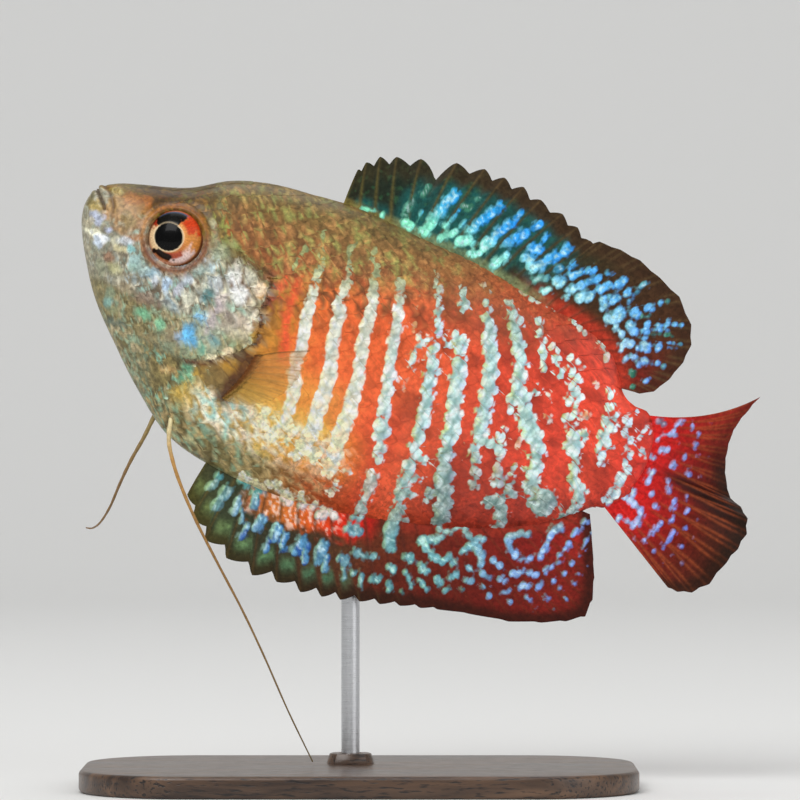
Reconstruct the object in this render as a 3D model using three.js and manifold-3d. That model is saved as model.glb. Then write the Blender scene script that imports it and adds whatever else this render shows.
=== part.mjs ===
// A male dwarf gourami, life size, held nose up on a small display stand.
// Millimetres, +Z up. The head points to -X and the fish's left side faces -Y.
// The origin is the middle of the stand's underside.
//
// The fish is drawn level, in its own frame: +X runs from the snout to the tail, +Z is
// towards the back, and the snout's foremost height is the frame's origin. A group then
// turns it nose up and lifts it onto the stand.

import * as THREE from 'three';
import { mergeVertices } from 'three/addons/utils/BufferGeometryUtils.js';
import { LoftGeometry } from 'three/addons/geometries/LoftGeometry.js';
import Module from 'manifold-3d';

const wasm = await Module();
wasm.setup();

// Driving dimensions, in millimetres and degrees
const nosePitch = 23.5;
const snoutPlace = { x: -30, z: 61.2 };
const partGap = 0.3;
const ringPoints = 28;
const widestSpan = 2.5;
const mouthStart = 0.08;
const mouthSlant = { x: -0.6, z: 0.8 };
const leastHalf = 0.15;
const mergeDistance = 1e-5;

// The bend of the swimming body: the tail swings away to +Y behind the gill covers
const bendStart = 22;
const bendLength = 44;
const bendSwing = 1.6;

// Ribs of the body, from the mouth to the root of the tail fin. Each spans from the belly
// line to the back line. half is half the thickness, wide the height of the thickest place
// as a share of the rib, and ridge and keel say how round the rib is above and below it:
// 2 is an ellipse and 1 a wedge.
const ribs = [
  { back: [0.06, 3.92], belly: [0.06, 3.92], half: 0.00, wide: 0.50, ridge: 2.2, keel: 2.2 },
  { back: [0.45, 4.42], belly: [-0.16, 3.35], half: 1.05, wide: 0.50, ridge: 2.2, keel: 2.2 },
  { back: [1.25, 4.95], belly: [-0.44, 2.60], half: 1.65, wide: 0.52, ridge: 2.2, keel: 2.1 },
  { back: [2.50, 5.60], belly: [-0.42, 1.35], half: 2.20, wide: 0.54, ridge: 2.2, keel: 2.0 },
  { back: [4.30, 6.25], belly: [0.10, -0.35], half: 2.90, wide: 0.56, ridge: 2.2, keel: 1.9 },
  { back: [6.70, 7.05], belly: [1.72, -3.14], half: 3.65, wide: 0.57, ridge: 2.2, keel: 1.8 },
  { back: [9.70, 8.35], belly: [4.40, -6.80], half: 4.40, wide: 0.57, ridge: 2.1, keel: 1.7 },
  { back: [13.0, 10.55], belly: [8.40, -10.75], half: 5.10, wide: 0.55, ridge: 1.9, keel: 1.7 },
  { back: [17.0, 12.00], belly: [13.2, -14.70], half: 5.60, wide: 0.52, ridge: 1.7, keel: 1.7 },
  { back: [22.0, 12.80], belly: [18.0, -17.70], half: 5.80, wide: 0.50, ridge: 1.6, keel: 1.7 },
  { back: [27.5, 13.45], belly: [24.5, -18.90], half: 5.65, wide: 0.50, ridge: 1.5, keel: 1.6 },
  { back: [34.0, 13.20], belly: [32.0, -18.90], half: 5.10, wide: 0.50, ridge: 1.5, keel: 1.45 },
  { back: [41.0, 13.05], belly: [40.0, -17.60], half: 4.35, wide: 0.50, ridge: 1.5, keel: 1.4 },
  { back: [48.5, 12.05], belly: [48.5, -15.05], half: 3.45, wide: 0.50, ridge: 1.5, keel: 1.4 },
  { back: [54.5, 11.45], belly: [55.0, -12.40], half: 2.65, wide: 0.50, ridge: 1.5, keel: 1.5 },
  { back: [58.4, 9.90], belly: [59.3, -9.85], half: 2.10, wide: 0.50, ridge: 1.6, keel: 1.6 },
  { back: [61.0, 6.60], belly: [61.4, -8.00], half: 1.75, wide: 0.50, ridge: 1.8, keel: 1.8 },
  { back: [62.8, 5.72], belly: [62.8, -6.40], half: 1.45, wide: 0.50, ridge: 1.9, keel: 1.9 },
  { back: [64.5, 5.50], belly: [64.2, -5.95], half: 1.15, wide: 0.50, ridge: 1.9, keel: 1.9 },
  { back: [65.9, 3.90], belly: [65.7, -4.20], half: 0.95, wide: 0.50, ridge: 1.9, keel: 1.9 },
  { back: [66.4, 2.00], belly: [66.3, -2.20], half: 0.75, wide: 0.50, ridge: 1.9, keel: 1.9 },
];

// Eyes: flattened balls, turned a little forwards in their sockets
const eyePlace = { x: 10.19, z: 2.31, out: 3.15 };
const eyeRadius = 3.25;
const eyeDepth = 2.0;
const eyeForward = 10;
const eyeSegments = { around: 14, high: 9 };

// Lines where the body is parted, drawn on its side view. The corners close each line into an
// outline round the piece that is parted off, and the cuts reach across the whole body.
const cutReach = 14;
const coverInnerReach = 0.2;
const lineSteps = 3;
const headLine = [[15.4, 14.5], [16.6, 11.0], [18.7, 7.4], [20.7, 4.0], [21.4, 1.6], [21.75, -1.6],
  [21.75, -4.2], [21.3, -6.1], [20.0, -7.5], [17.9, -9.3], [15.4, -11.5], [12.8, -13.7], [10.4, -16.5]];
const headCorners = [[-8, -16.5], [-8, 14.5]];
const tailLine = [[60.2, -12.5], [59.5, -6.0], [59.3, 0.0], [59.2, 6.0], [59.6, 12.5]];
const tailCorners = [[72, 12.5], [72, -12.5]];
const lowerJawLine = [[-1.5, 4.55], [-0.06, 3.70], [1.35, 2.65], [2.35, 1.30], [4.2, -0.6], [5.3, -2.4],
  [4.9, -4.4], [3.4, -6.2], [2.0, -7.4]];
const lowerJawCorners = [[-4, -7.4], [-4, 4.7]];
const upperJawLine = [[1.9, 6.6], [2.35, 5.3], [2.95, 3.8], [3.0, 2.4], [2.5, 1.2],
  [1.2, 0.6], [-2.0, 0.4]];
const upperJawCorners = [[-3, 6.6]];
const coverLine = [[19.0, -15.5], [16.0, -14.6], [13.4, -12.4], [12.4, -9.4], [13.3, -6.4], [14.1, -2.4],
  [14.9, 1.6], [16.8, 4.1], [19.8, 4.9], [24.0, 5.4]];
const coverCorner = [24, -15.5];
const coverThickness = 0.9;

// Fins: each waves gently, with depth the most it sways to the side, rate how fast the wave runs
// along the fin and start where it begins
const finThickness = { root: 0.8, tip: 0.55, web: 0.5 };
const finBuried = 1.1;
const finSteps = 4;
const dorsalWave = { depth: 0.5, rate: 7.5, start: 0 };
const analWave = { depth: -0.5, rate: 6.5, start: 0.6 };

// Dorsal fin: roots spread along the back, spine tips, then the margin of the soft rear lobe. The skin
// between two spine tips is scalloped, and once deeply notched, by a share of the fin's height.
const dorsalRoots = [[25.2, 13.2], [31.0, 13.3], [37.5, 13.15], [43.0, 12.8], [48.5, 12.05], [53.5, 11.6],
  [57.0, 10.8], [59.3, 8.9], [61.0, 6.75]];
const dorsalSpineTips = [[25.1, 17.0], [25.6, 18.1], [26.75, 19.3], [28.4, 20.0], [30.9, 20.85],
  [34.6, 22.0], [37.65, 22.6], [40.0, 22.6], [42.3, 22.5], [44.6, 21.95], [47.3, 21.5], [49.4, 20.8],
  [51.1, 20.0]];
const dorsalLobe = [[52.2, 20.35], [54.6, 20.45], [57.0, 20.25], [59.7, 19.4], [62.5, 18.35], [64.9, 16.1],
  [65.8, 14.1], [65.75, 12.0], [65.1, 9.7], [64.1, 7.85], [62.75, 7.0]];
const dorsalSpineShare = 0.58;
const dorsalSoftRays = 11;
const dorsalScallop = { front: 0.14, rear: 0.06 };
const dorsalNotch = { afterSpine: 5, depth: 0.27 };
const dorsalBow = 0.04;

// Anal fin, laid out the same way along the belly
const analRoots = [[22.7, -18.6], [27.0, -18.9], [32.7, -18.8], [39.3, -17.7], [46.7, -15.6], [52.7, -13.4],
  [57.0, -11.3], [60.9, -8.7], [62.3, -7.1]];
const analSpineTips = [[22.2, -22.5], [23.7, -24.5], [25.9, -26.2], [28.8, -27.1], [32.1, -27.7],
  [34.8, -27.3], [37.6, -27.3], [39.9, -26.85], [41.9, -26.35], [43.9, -25.7], [46.0, -25.1],
  [48.1, -24.4], [50.2, -23.75]];
const analLobe = [[52.0, -23.15], [55.5, -22.2], [59.6, -21.3], [62.9, -20.0], [65.3, -18.8], [67.0, -17.5],
  [67.0, -15.5], [66.2, -13.2], [65.3, -11.4], [63.9, -8.7], [63.0, -7.1]];
const analSpineShare = 0.52;
const analSoftRays = 11;
const analScallop = { front: 0.16, rear: 0.015 };
const analBow = -0.04;

// Tail fin, in mid swing: a fan whose middle is folded away from the left side, whose lower
// lobe swings towards it and whose upper rays are bowed to the hollow top edge
const tailRoots = [[63.4, 5.3], [65.2, 4.2], [66.1, 2.2], [66.4, 0.0], [66.2, -2.3], [65.3, -4.4],
  [64.0, -5.7]];
const tailMargin = [[74.96, 11.96], [74.3, 9.9], [73.85, 8.2], [73.8, 6.75], [74.1, 5.1], [74.6, 3.65],
  [75.4, 2.2], [76.6, 0.6], [78.0, 0.18], [79.1, -0.7], [79.6, -2.3], [79.3, -4.2], [78.7, -6.1],
  [77.9, -8.9], [76.5, -10.5], [75.0, -11.05], [73.87, -11.02]];
const tailRays = 17;
const tailFold = { at: 0.42, width: 0.17, depth: 4.2 };
const tailLower = { swing: -1.6, from: 0.5, to: 0.9 };
const tailTop = { bow: -0.2, reach: 0.3 };

// Left pectoral fin: roots on the flank behind the gill cover, tips seen from the side, and
// how far each tip stands out from the body
const pectoralRoots = [[22.25, -6.6], [21.85, -11.5]];
const pectoralTips = [[28.4, -2.9, 7.4], [28.6, -5.1, 8.3], [28.15, -7.2, 8.6], [26.9, -9.3, 8.5],
  [24.9, -10.8, 7.9], [23.3, -11.3, 6.6]];
const pectoralRays = 7;
const pectoralSteps = 5;
const pectoralOut = { root: 3.2, fin: 4.6 };
const pectoralBow = 0.9;
const pectoralThickness = 0.55;

// Pelvic feelers: the left one trails down and back, the right one swings forwards and away
const feelerRadius = { root: 0.42, tip: 0.26 };
const feelerSides = 6;
const feelerSteps = 22;
const leftFeeler = [[17.1, -13.4, -1.2], [17.4, -15.6, -2.0], [18.1, -17.8, -2.8], [19.4, -19.7, -3.3],
  [21.3, -21.8, -3.7], [24.3, -24.6, -4.1], [28.2, -27.8, -4.4], [32.8, -31.5, -4.4], [37.0, -35.2, -4.1],
  [41.5, -39.4, -3.5], [46.1, -43.4, -2.7]];
const rightFeeler = [[15.8, -13.4, 1.0], [15.5, -16.0, 1.7], [15.3, -18.8, 3.4], [14.9, -21.8, 6.0],
  [14.7, -24.6, 8.8], [14.6, -27.5, 11.8], [14.2, -29.6, 14.2], [13.6, -30.6, 15.9], [12.9, -30.9, 16.8]];

// Stand: a flat plate with rounded ends, a low collar and one rod
const baseLength = 60;
const baseWidth = 36;
const baseHeight = 2.4;
const baseCorner = 12;
const baseBevel = 0.5;
const rodPlace = { x: -1, y: 3 };
const rodRadius = 1.0;
const rodSeat = 0.8;
const collarRadius = { top: 2.08, foot: 2.6 };
const collarHeight = 1.2;
const collarSunk = 1;
const rodTop = 37;
const roundSides = { corner: 7, collar: 20, rod: 16 };

// Colours and finishes
function finish(colour, roughness, metalness = 0) {
  return new THREE.MeshStandardMaterial({ color: colour, roughness, metalness });
}

const headFinish = { colour: 0x9c8f72, roughness: 0.4 };
const trunkFinish = { colour: 0xd9532c, roughness: 0.35 };
const tailFinish = { colour: 0xc62c1f, roughness: 0.35 };
const finFinish = { colour: 0x5f7f96, roughness: 0.4 };
const redFinFinish = { colour: 0xa63626, roughness: 0.4 };
const clearFinFinish = { colour: 0xb89a55, roughness: 0.35 };
const feelerFinish = { colour: 0xb7803c, roughness: 0.45 };
const eyeFinish = { colour: 0x30180f, roughness: 0.1 };
const woodFinish = { colour: 0x4a2e1d, roughness: 0.45 };
const steelFinish = { colour: 0xb9bcc0, roughness: 0.3, metalness: 0.9 };

// Curves and small helpers

function splineOf(points) {
  return new THREE.SplineCurve(points.map(([x, z]) => new THREE.Vector2(x, z)));
}

function bend(x) {
  const share = Math.max(0, x - bendStart) / bendLength;
  return bendSwing * share * share;
}

const backCurve = splineOf(ribs.map((rib) => rib.back));
const bellyCurve = splineOf(ribs.map((rib) => rib.belly));
const widthCurve = splineOf(ribs.map((rib) => [rib.half, rib.wide]));
const roundCurve = splineOf(ribs.map((rib) => [rib.ridge, rib.keel]));

// One rib of the body at a share of the way along it, made larger or thinner where asked
function ribPoints(share, grow, thin) {
  const back = backCurve.getPoint(share);
  const belly = bellyCurve.getPoint(share);
  const { x: half, y: wide } = widthCurve.getPoint(share);
  const { x: ridge, y: keel } = roundCurve.getPoint(share);
  const along = new THREE.Vector2().subVectors(back, belly);
  const up = along.length() > 0 ? along.clone().normalize() : new THREE.Vector2(mouthSlant.x, mouthSlant.z);
  back.addScaledVector(up, grow);
  belly.addScaledVector(up, -grow);
  along.subVectors(back, belly);
  const halfHere = Math.max(leastHalf, half + grow - thin);
  const points = [];
  for (let k = 0; k < ringPoints; k += 1) {
    const angle = (2 * Math.PI * k) / ringPoints;
    const height = Math.cos(angle);
    const side = Math.sin(angle);
    const reach = height > 0 ? 1 - wide : wide;
    const round = height > 0 ? ridge : keel;
    const place = belly.clone().addScaledVector(along, wide + reach * height);
    const out = Math.sign(side) * halfHere * Math.abs(side) ** (2 / round);
    points.push(new THREE.Vector3(place.x, bend(place.x) + out, place.y));
  }
  return points;
}

// A closed loft. Its sections are turned over if they wind the wrong way round.
function loftOf(sections) {
  const normal = new THREE.Vector3();
  const advance = new THREE.Vector3();
  const middle = Math.floor(sections.length / 2);
  const section = sections[middle];
  section.forEach((point, k) => {
    const next = section[(k + 1) % section.length];
    normal.add(point.clone().cross(next));
    advance.add(sections[middle + 1][k]).sub(point);
  });
  const ordered = normal.dot(advance) > 0 ? sections : sections.map((points) => [...points].reverse());
  return new LoftGeometry(ordered, { capStart: true, capEnd: true });
}

// The whole body: ribs closed by a flat at the tail and a point at the mouth
function bodyGeometry(grow = 0, thin = 0) {
  const spans = ribs.length - 1;
  const rings = [ribPoints(mouthStart / spans, grow, thin)];
  for (let i = 1; i <= spans; i += 1) {
    const wideSpan = ribs[i].back[0] - ribs[i - 1].back[0] > widestSpan;
    if (wideSpan) rings.push(ribPoints((i - 0.5) / spans, grow, thin));
    rings.push(ribPoints(i / spans, grow, thin));
  }
  if (grow > 0) {
    rings.unshift(rings[0].map((point) => point.clone().add(new THREE.Vector3(-grow, 0, grow))));
    rings.push(rings.at(-1).map((point) => point.clone().add(new THREE.Vector3(grow, 0, 0))));
  }
  return loftOf(rings);
}

function solidOf(geometry) {
  const bare = geometry.index ? geometry.toNonIndexed() : geometry.clone();
  bare.deleteAttribute('normal');
  bare.deleteAttribute('uv');
  const merged = mergeVertices(bare, mergeDistance);
  return new wasm.Manifold(new wasm.Mesh({
    numProp: 3,
    vertProperties: new Float32Array(merged.attributes.position.array),
    triVerts: new Uint32Array(merged.index.array),
  }));
}

function geometryOf(solid) {
  const mesh = solid.getMesh();
  const geometry = new THREE.BufferGeometry();
  geometry.setAttribute('position', new THREE.BufferAttribute(mesh.vertProperties, 3));
  geometry.setIndex(new THREE.BufferAttribute(mesh.triVerts, 1));
  geometry.computeVertexNormals();
  return geometry;
}

function meshOf(name, shape, { colour, roughness, metalness }) {
  const geometry = shape.isBufferGeometry ? shape : geometryOf(shape);
  const mesh = new THREE.Mesh(geometry, finish(colour, roughness, metalness));
  mesh.name = name;
  return mesh;
}

// A block that runs across the body, with the given outline in the side view
function prismOf(outline, near = -cutReach, far = cutReach) {
  const shape = new THREE.Shape(outline.map(([x, z]) => new THREE.Vector2(x, z)));
  const geometry = new THREE.ExtrudeGeometry(shape, { depth: far - near, bevelEnabled: false });
  geometry.rotateX(Math.PI / 2);
  geometry.translate(0, far, 0);
  return solidOf(geometry);
}

// A parting line as a smooth row of points, moved to its right by the given distance
function lineBeside(line, distance) {
  const curve = splineOf(line);
  const steps = (line.length - 1) * lineSteps;
  const points = [];
  for (let i = 0; i <= steps; i += 1) {
    const place = curve.getPoint(i / steps);
    const ahead = curve.getTangent(i / steps);
    points.push([place.x + ahead.y * distance, place.y - ahead.x * distance]);
  }
  return points;
}

// Parts a solid along a line: first the piece on the side of the corners, then what is left
function partAt(whole, line, corners) {
  const half = partGap / 2;
  const inside = prismOf([...lineBeside(line, half), ...corners]);
  const outside = prismOf([...lineBeside(line, -half), ...corners]);
  return [whole.intersect(inside), whole.subtract(outside)];
}

// Places spread evenly by the spline's own parameter
function sampled(points, count) {
  const curve = splineOf(points);
  return Array.from({ length: count }, (_, i) => curve.getPoint(i / (count - 1)));
}

// A fin's rays, each with its root, its tip, how far the margin behind it is scalloped, and its bow
function medianFinRays({ roots, spineTips, lobe, spineShare, softRays, scallops, notch, bow }) {
  const rootCurve = splineOf(roots);
  const spines = spineTips.length;
  const tips = [...spineTips.map(([x, z]) => new THREE.Vector2(x, z)), ...sampled(lobe, softRays)];
  const rays = [];
  tips.forEach((tip, i) => {
    const spiny = i < spines;
    const rearness = i / spines;
    const share = spiny
      ? spineShare * (i / (spines - 1))
      : spineShare + (1 - spineShare) * ((i - spines + 1) / softRays);
    let scallop = spiny ? THREE.MathUtils.lerp(scallops.front, scallops.rear, rearness) : 0;
    if (notch && notch.afterSpine === i + 1) scallop = notch.depth;
    rays.push({ root: rootCurve.getPointAt(share), tip, scallop, bow });
  });
  return rays;
}

// The curve of one ray in the side view. The root starts buried in the body.
function rayPoint(root, tip, bow, share) {
  const along = new THREE.Vector2().subVectors(tip, root);
  const buried = root.clone().addScaledVector(along.clone().normalize(), -finBuried);
  const middle = root.clone().addScaledVector(along, 0.5);
  middle.add(new THREE.Vector2(-along.y, along.x).multiplyScalar(bow));
  return new THREE.QuadraticBezierCurve(buried, middle, tip).getPoint(share);
}

// The places on the two faces of a thin fin, along one line from its root to its margin
function finSection(points, thickness, across) {
  return points.map((point, k) => {
    const half = THREE.MathUtils.lerp(thickness[0], thickness[1], k / (points.length - 1)) / 2;
    return [-half, half].map((out) => point.clone().addScaledVector(across, out));
  });
}

// A thin closed plate from rows of sections: two faces and the rim round all four edges
function plateOf(sections) {
  const lastRow = sections.length - 1;
  const lastStep = sections[0].length - 1;
  const at = (i, k, face) => (i * (lastStep + 1) + k) * 2 + face;
  const order = [];
  const quad = (a, b, c, d) => order.push(a, b, c, a, c, d);
  for (let i = 0; i < lastRow; i += 1) {
    for (let k = 0; k < lastStep; k += 1) {
      quad(at(i, k, 0), at(i + 1, k, 0), at(i + 1, k + 1, 0), at(i, k + 1, 0));
      quad(at(i, k, 1), at(i, k + 1, 1), at(i + 1, k + 1, 1), at(i + 1, k, 1));
    }
    quad(at(i, 0, 0), at(i, 0, 1), at(i + 1, 0, 1), at(i + 1, 0, 0));
    quad(at(i, lastStep, 0), at(i + 1, lastStep, 0), at(i + 1, lastStep, 1), at(i, lastStep, 1));
  }
  for (let k = 0; k < lastStep; k += 1) {
    quad(at(0, k, 0), at(0, k + 1, 0), at(0, k + 1, 1), at(0, k, 1));
    quad(at(lastRow, k, 0), at(lastRow, k, 1), at(lastRow, k + 1, 1), at(lastRow, k + 1, 0));
  }
  const places = sections.flat(2);
  const middle = Math.floor(lastRow / 2);
  const [left, right] = sections[middle][1];
  const ahead = sections[middle + 1][1][0].clone().sub(left);
  const outward = sections[middle][2][0].clone().sub(left);
  if (ahead.cross(outward).dot(right.clone().sub(left)) > 0) order.reverse();
  const geometry = new THREE.BufferGeometry().setFromPoints(places);
  geometry.setIndex(order);
  return solidOf(geometry);
}

// A fin on the middle line of the body, one section for each ray and for each scallop
function medianFin(rays, sway) {
  const across = new THREE.Vector3(0, 1, 0);
  const sections = [];
  const addSection = (root, tip, bow, place, thickness) => {
    const points = [];
    for (let k = 0; k <= finSteps; k += 1) {
      const share = k / finSteps;
      const flat = rayPoint(root, tip, bow, share);
      points.push(new THREE.Vector3(flat.x, bend(flat.x) + sway(place, share), flat.y));
    }
    sections.push(finSection(points, thickness, across));
  };
  rays.forEach((ray, i) => {
    addSection(ray.root, ray.tip, ray.bow, i / (rays.length - 1), [finThickness.root, finThickness.tip]);
    const next = rays[i + 1];
    if (!next || ray.scallop === 0) return;
    const root = ray.root.clone().lerp(next.root, 0.5);
    const tip = ray.tip.clone().lerp(next.tip, 0.5).lerp(root, ray.scallop);
    const place = (i + 0.5) / (rays.length - 1);
    addSection(root, tip, ray.bow, place, [finThickness.root, finThickness.web]);
  });
  return plateOf(sections);
}

// A feeler: a ring of corners carried along its route, thinner towards the tip
function feelerSolid(route) {
  const curve = new THREE.CatmullRomCurve3(route.map(([x, z, y]) => new THREE.Vector3(x, y, z)));
  const frames = curve.computeFrenetFrames(feelerSteps, false);
  const sections = [];
  for (let i = 0; i <= feelerSteps; i += 1) {
    const share = i / feelerSteps;
    const centre = curve.getPointAt(share);
    const radius = THREE.MathUtils.lerp(feelerRadius.root, feelerRadius.tip, share);
    const ring = [];
    for (let k = 0; k < feelerSides; k += 1) {
      const angle = (2 * Math.PI * k) / feelerSides;
      ring.push(centre.clone()
        .addScaledVector(frames.normals[i], radius * Math.cos(angle))
        .addScaledVector(frames.binormals[i], radius * Math.sin(angle)));
    }
    sections.push(ring);
  }
  return solidOf(loftOf(sections));
}

// The pectoral fin of one side: side is -1 on the left and 1 on the right
function pectoralSolid(side) {
  const [top, low] = pectoralRoots.map(([x, z]) => new THREE.Vector2(x, z));
  const tipCurve = new THREE.CatmullRomCurve3(
    pectoralTips.map(([x, z, out]) => new THREE.Vector3(x, out, z)),
  );
  const sections = [];
  const count = pectoralRays * 2 - 1;
  for (let i = 0; i < count; i += 1) {
    const share = i / (count - 1);
    const flat = top.clone().lerp(low, share);
    const root = new THREE.Vector3(flat.x, side * pectoralOut.root, flat.y);
    const far = tipCurve.getPoint(share);
    const tip = new THREE.Vector3(far.x, side * (pectoralOut.fin + far.y), far.z);
    const middle = root.clone().lerp(tip, 0.5).add(new THREE.Vector3(-pectoralBow, side * pectoralBow, 0));
    const curve = new THREE.QuadraticBezierCurve3(root, middle, tip);
    const ahead = curve.getTangent(0.5);
    const across = ahead.cross(new THREE.Vector3(0, 0, 1)).normalize();
    const points = curve.getPoints(pectoralSteps);
    sections.push(finSection(points, [pectoralThickness, pectoralThickness], across));
  }
  return plateOf(sections);
}

// An eye, or its socket when it is grown by the gap
function eyeSolid(side, grow = 0) {
  const geometry = new THREE.SphereGeometry(1, eyeSegments.around, eyeSegments.high);
  geometry.scale(eyeRadius + grow, eyeDepth + grow, eyeRadius + grow);
  geometry.rotateZ(side * THREE.MathUtils.degToRad(eyeForward));
  geometry.translate(eyePlace.x, side * eyePlace.out, eyePlace.z);
  return solidOf(geometry);
}

// The body and the pieces that are cut from it
const body = solidOf(bodyGeometry());
const bodyClear = solidOf(bodyGeometry(partGap));
const bodyCore = solidOf(bodyGeometry(0, coverThickness));
const bodyRecess = solidOf(bodyGeometry(0, coverThickness + partGap));

const [wholeHead, rest] = partAt(body, headLine, headCorners);
const [tailStalk, trunk] = partAt(rest, tailLine, tailCorners);
const [lowerJaw, upperHead] = partAt(wholeHead, lowerJawLine, lowerJawCorners);
const [upperJaw, bareHead] = partAt(upperHead, upperJawLine, upperJawCorners);
let headPart = bareHead;

const covers = [-1, 1].map((side) => {
  const [near, far] = [side * coverInnerReach, side * cutReach].sort((a, b) => a - b);
  const inner = prismOf([...lineBeside(coverLine, partGap / 2), coverCorner], near, far);
  const outer = prismOf([...lineBeside(coverLine, -partGap / 2), coverCorner], near, far);
  const cover = headPart.intersect(inner).subtract(bodyCore);
  headPart = headPart.subtract(outer.subtract(bodyRecess));
  return cover;
});

const eyes = [-1, 1].map((side) => {
  headPart = headPart.subtract(eyeSolid(side, partGap));
  return eyeSolid(side);
});

// The fins, each trimmed where it meets the body
const dorsalRays = medianFinRays({
  roots: dorsalRoots, spineTips: dorsalSpineTips, lobe: dorsalLobe, spineShare: dorsalSpineShare,
  softRays: dorsalSoftRays, scallops: dorsalScallop, notch: dorsalNotch, bow: dorsalBow,
});
const analRays = medianFinRays({
  roots: analRoots, spineTips: analSpineTips, lobe: analLobe, spineShare: analSpineShare,
  softRays: analSoftRays, scallops: analScallop, bow: analBow,
});
const tailTips = sampled(tailMargin, tailRays);
const tailRootRow = sampled(tailRoots, tailRays);
const tailFan = tailTips.map((tip, i) => {
  const share = i / (tailRays - 1);
  const bow = tailTop.bow * Math.max(0, 1 - share / tailTop.reach);
  return { root: tailRootRow[i], tip, scallop: 0, bow };
});

// How far a fin stands to the side: place runs along the fin and share from root to margin
function waveSway({ depth, rate, start }) {
  return (place, share) => depth * share * share * Math.sin(place * rate + start);
}

function tailSway(place, share) {
  const fold = Math.exp(-(((place - tailFold.at) / tailFold.width) ** 2));
  const lower = THREE.MathUtils.smoothstep(place, tailLower.from, tailLower.to);
  return share * share * (tailFold.depth * fold + tailLower.swing * lower);
}

const dorsalFin = medianFin(dorsalRays, waveSway(dorsalWave)).subtract(bodyClear);
const analFin = medianFin(analRays, waveSway(analWave)).subtract(bodyClear);
const tailFin = medianFin(tailFan, tailSway).subtract(bodyClear);
const pectorals = [-1, 1].map((side) => pectoralSolid(side).subtract(bodyClear));
const feelers = [leftFeeler, rightFeeler].map((route) => feelerSolid(route).subtract(bodyClear));

// The fish, turned nose up
const fish = new THREE.Group();
fish.rotation.y = THREE.MathUtils.degToRad(nosePitch);
fish.position.set(snoutPlace.x, 0, snoutPlace.z);
fish.updateMatrixWorld(true);

fish.add(
  meshOf('head', headPart, headFinish),
  meshOf('jaw_upper', upperJaw, headFinish),
  meshOf('jaw_lower', lowerJaw, headFinish),
  meshOf('gill_cover_left', covers[0], headFinish),
  meshOf('gill_cover_right', covers[1], headFinish),
  meshOf('eye_left', eyes[0], eyeFinish),
  meshOf('eye_right', eyes[1], eyeFinish),
  meshOf('trunk', trunk, trunkFinish),
  meshOf('tail_stalk', tailStalk, tailFinish),
  meshOf('dorsal_fin', dorsalFin, finFinish),
  meshOf('anal_fin', analFin, finFinish),
  meshOf('caudal_fin', tailFin, redFinFinish),
  meshOf('pectoral_fin_left', pectorals[0], clearFinFinish),
  meshOf('pectoral_fin_right', pectorals[1], clearFinFinish),
  meshOf('pelvic_feeler_left', feelers[0], feelerFinish),
  meshOf('pelvic_feeler_right', feelers[1], feelerFinish),
);

// The stand
function roundedPlate(length, width, corner) {
  const shape = new THREE.Shape();
  const x = length / 2 - corner;
  const y = width / 2 - corner;
  shape.absarc(x, y, corner, 0, Math.PI / 2);
  shape.absarc(-x, y, corner, Math.PI / 2, Math.PI);
  shape.absarc(-x, -y, corner, Math.PI, 1.5 * Math.PI);
  shape.absarc(x, -y, corner, 1.5 * Math.PI, 2 * Math.PI);
  return shape;
}

function standBase() {
  const plate = new THREE.ExtrudeGeometry(
    roundedPlate(baseLength - 2 * baseBevel, baseWidth - 2 * baseBevel, baseCorner - baseBevel),
    {
      depth: baseHeight - 2 * baseBevel, bevelThickness: baseBevel, bevelSize: baseBevel,
      bevelSegments: 1, curveSegments: roundSides.corner,
    },
  );
  plate.translate(0, 0, baseBevel);
  const collarLength = collarHeight + collarSunk;
  const { top, foot } = collarRadius;
  const collar = new THREE.CylinderGeometry(top, foot, collarLength, roundSides.collar);
  collar.rotateX(Math.PI / 2);
  collar.translate(rodPlace.x, rodPlace.y, baseHeight + (collarHeight - collarSunk) / 2);
  const holeRadius = rodRadius + partGap;
  const hole = new THREE.CylinderGeometry(holeRadius, holeRadius, baseHeight * 2, roundSides.rod);
  hole.rotateX(Math.PI / 2);
  hole.translate(rodPlace.x, rodPlace.y, rodSeat - partGap + baseHeight);
  return solidOf(plate).add(solidOf(collar)).subtract(solidOf(hole));
}

function standRod() {
  const length = rodTop - rodSeat;
  const rod = new THREE.CylinderGeometry(rodRadius, rodRadius, length, roundSides.rod);
  rod.rotateX(Math.PI / 2);
  rod.translate(rodPlace.x, rodPlace.y, rodSeat + length / 2);
  const bodyAbove = solidOf(bodyGeometry(partGap).applyMatrix4(fish.matrixWorld));
  return solidOf(rod).subtract(bodyAbove);
}

const group = new THREE.Group();
group.add(
  fish,
  meshOf('stand_base', standBase(), woodFinish),
  meshOf('stand_rod', standRod(), steelFinish),
);

export default group;
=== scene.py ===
import math

import bpy
import numpy as np
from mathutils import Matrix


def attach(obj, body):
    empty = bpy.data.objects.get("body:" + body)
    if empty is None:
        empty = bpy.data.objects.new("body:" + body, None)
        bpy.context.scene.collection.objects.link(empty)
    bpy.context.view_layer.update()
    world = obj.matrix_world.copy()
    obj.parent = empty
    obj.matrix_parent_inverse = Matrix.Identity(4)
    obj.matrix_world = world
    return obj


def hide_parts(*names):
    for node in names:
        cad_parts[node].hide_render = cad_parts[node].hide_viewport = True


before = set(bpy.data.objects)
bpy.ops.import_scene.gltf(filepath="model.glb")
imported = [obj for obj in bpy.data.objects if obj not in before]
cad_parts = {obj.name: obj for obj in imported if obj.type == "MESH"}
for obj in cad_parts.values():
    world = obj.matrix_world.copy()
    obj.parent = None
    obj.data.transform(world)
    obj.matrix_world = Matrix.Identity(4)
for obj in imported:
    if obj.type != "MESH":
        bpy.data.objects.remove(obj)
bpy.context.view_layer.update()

print("frame loaded")

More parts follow.
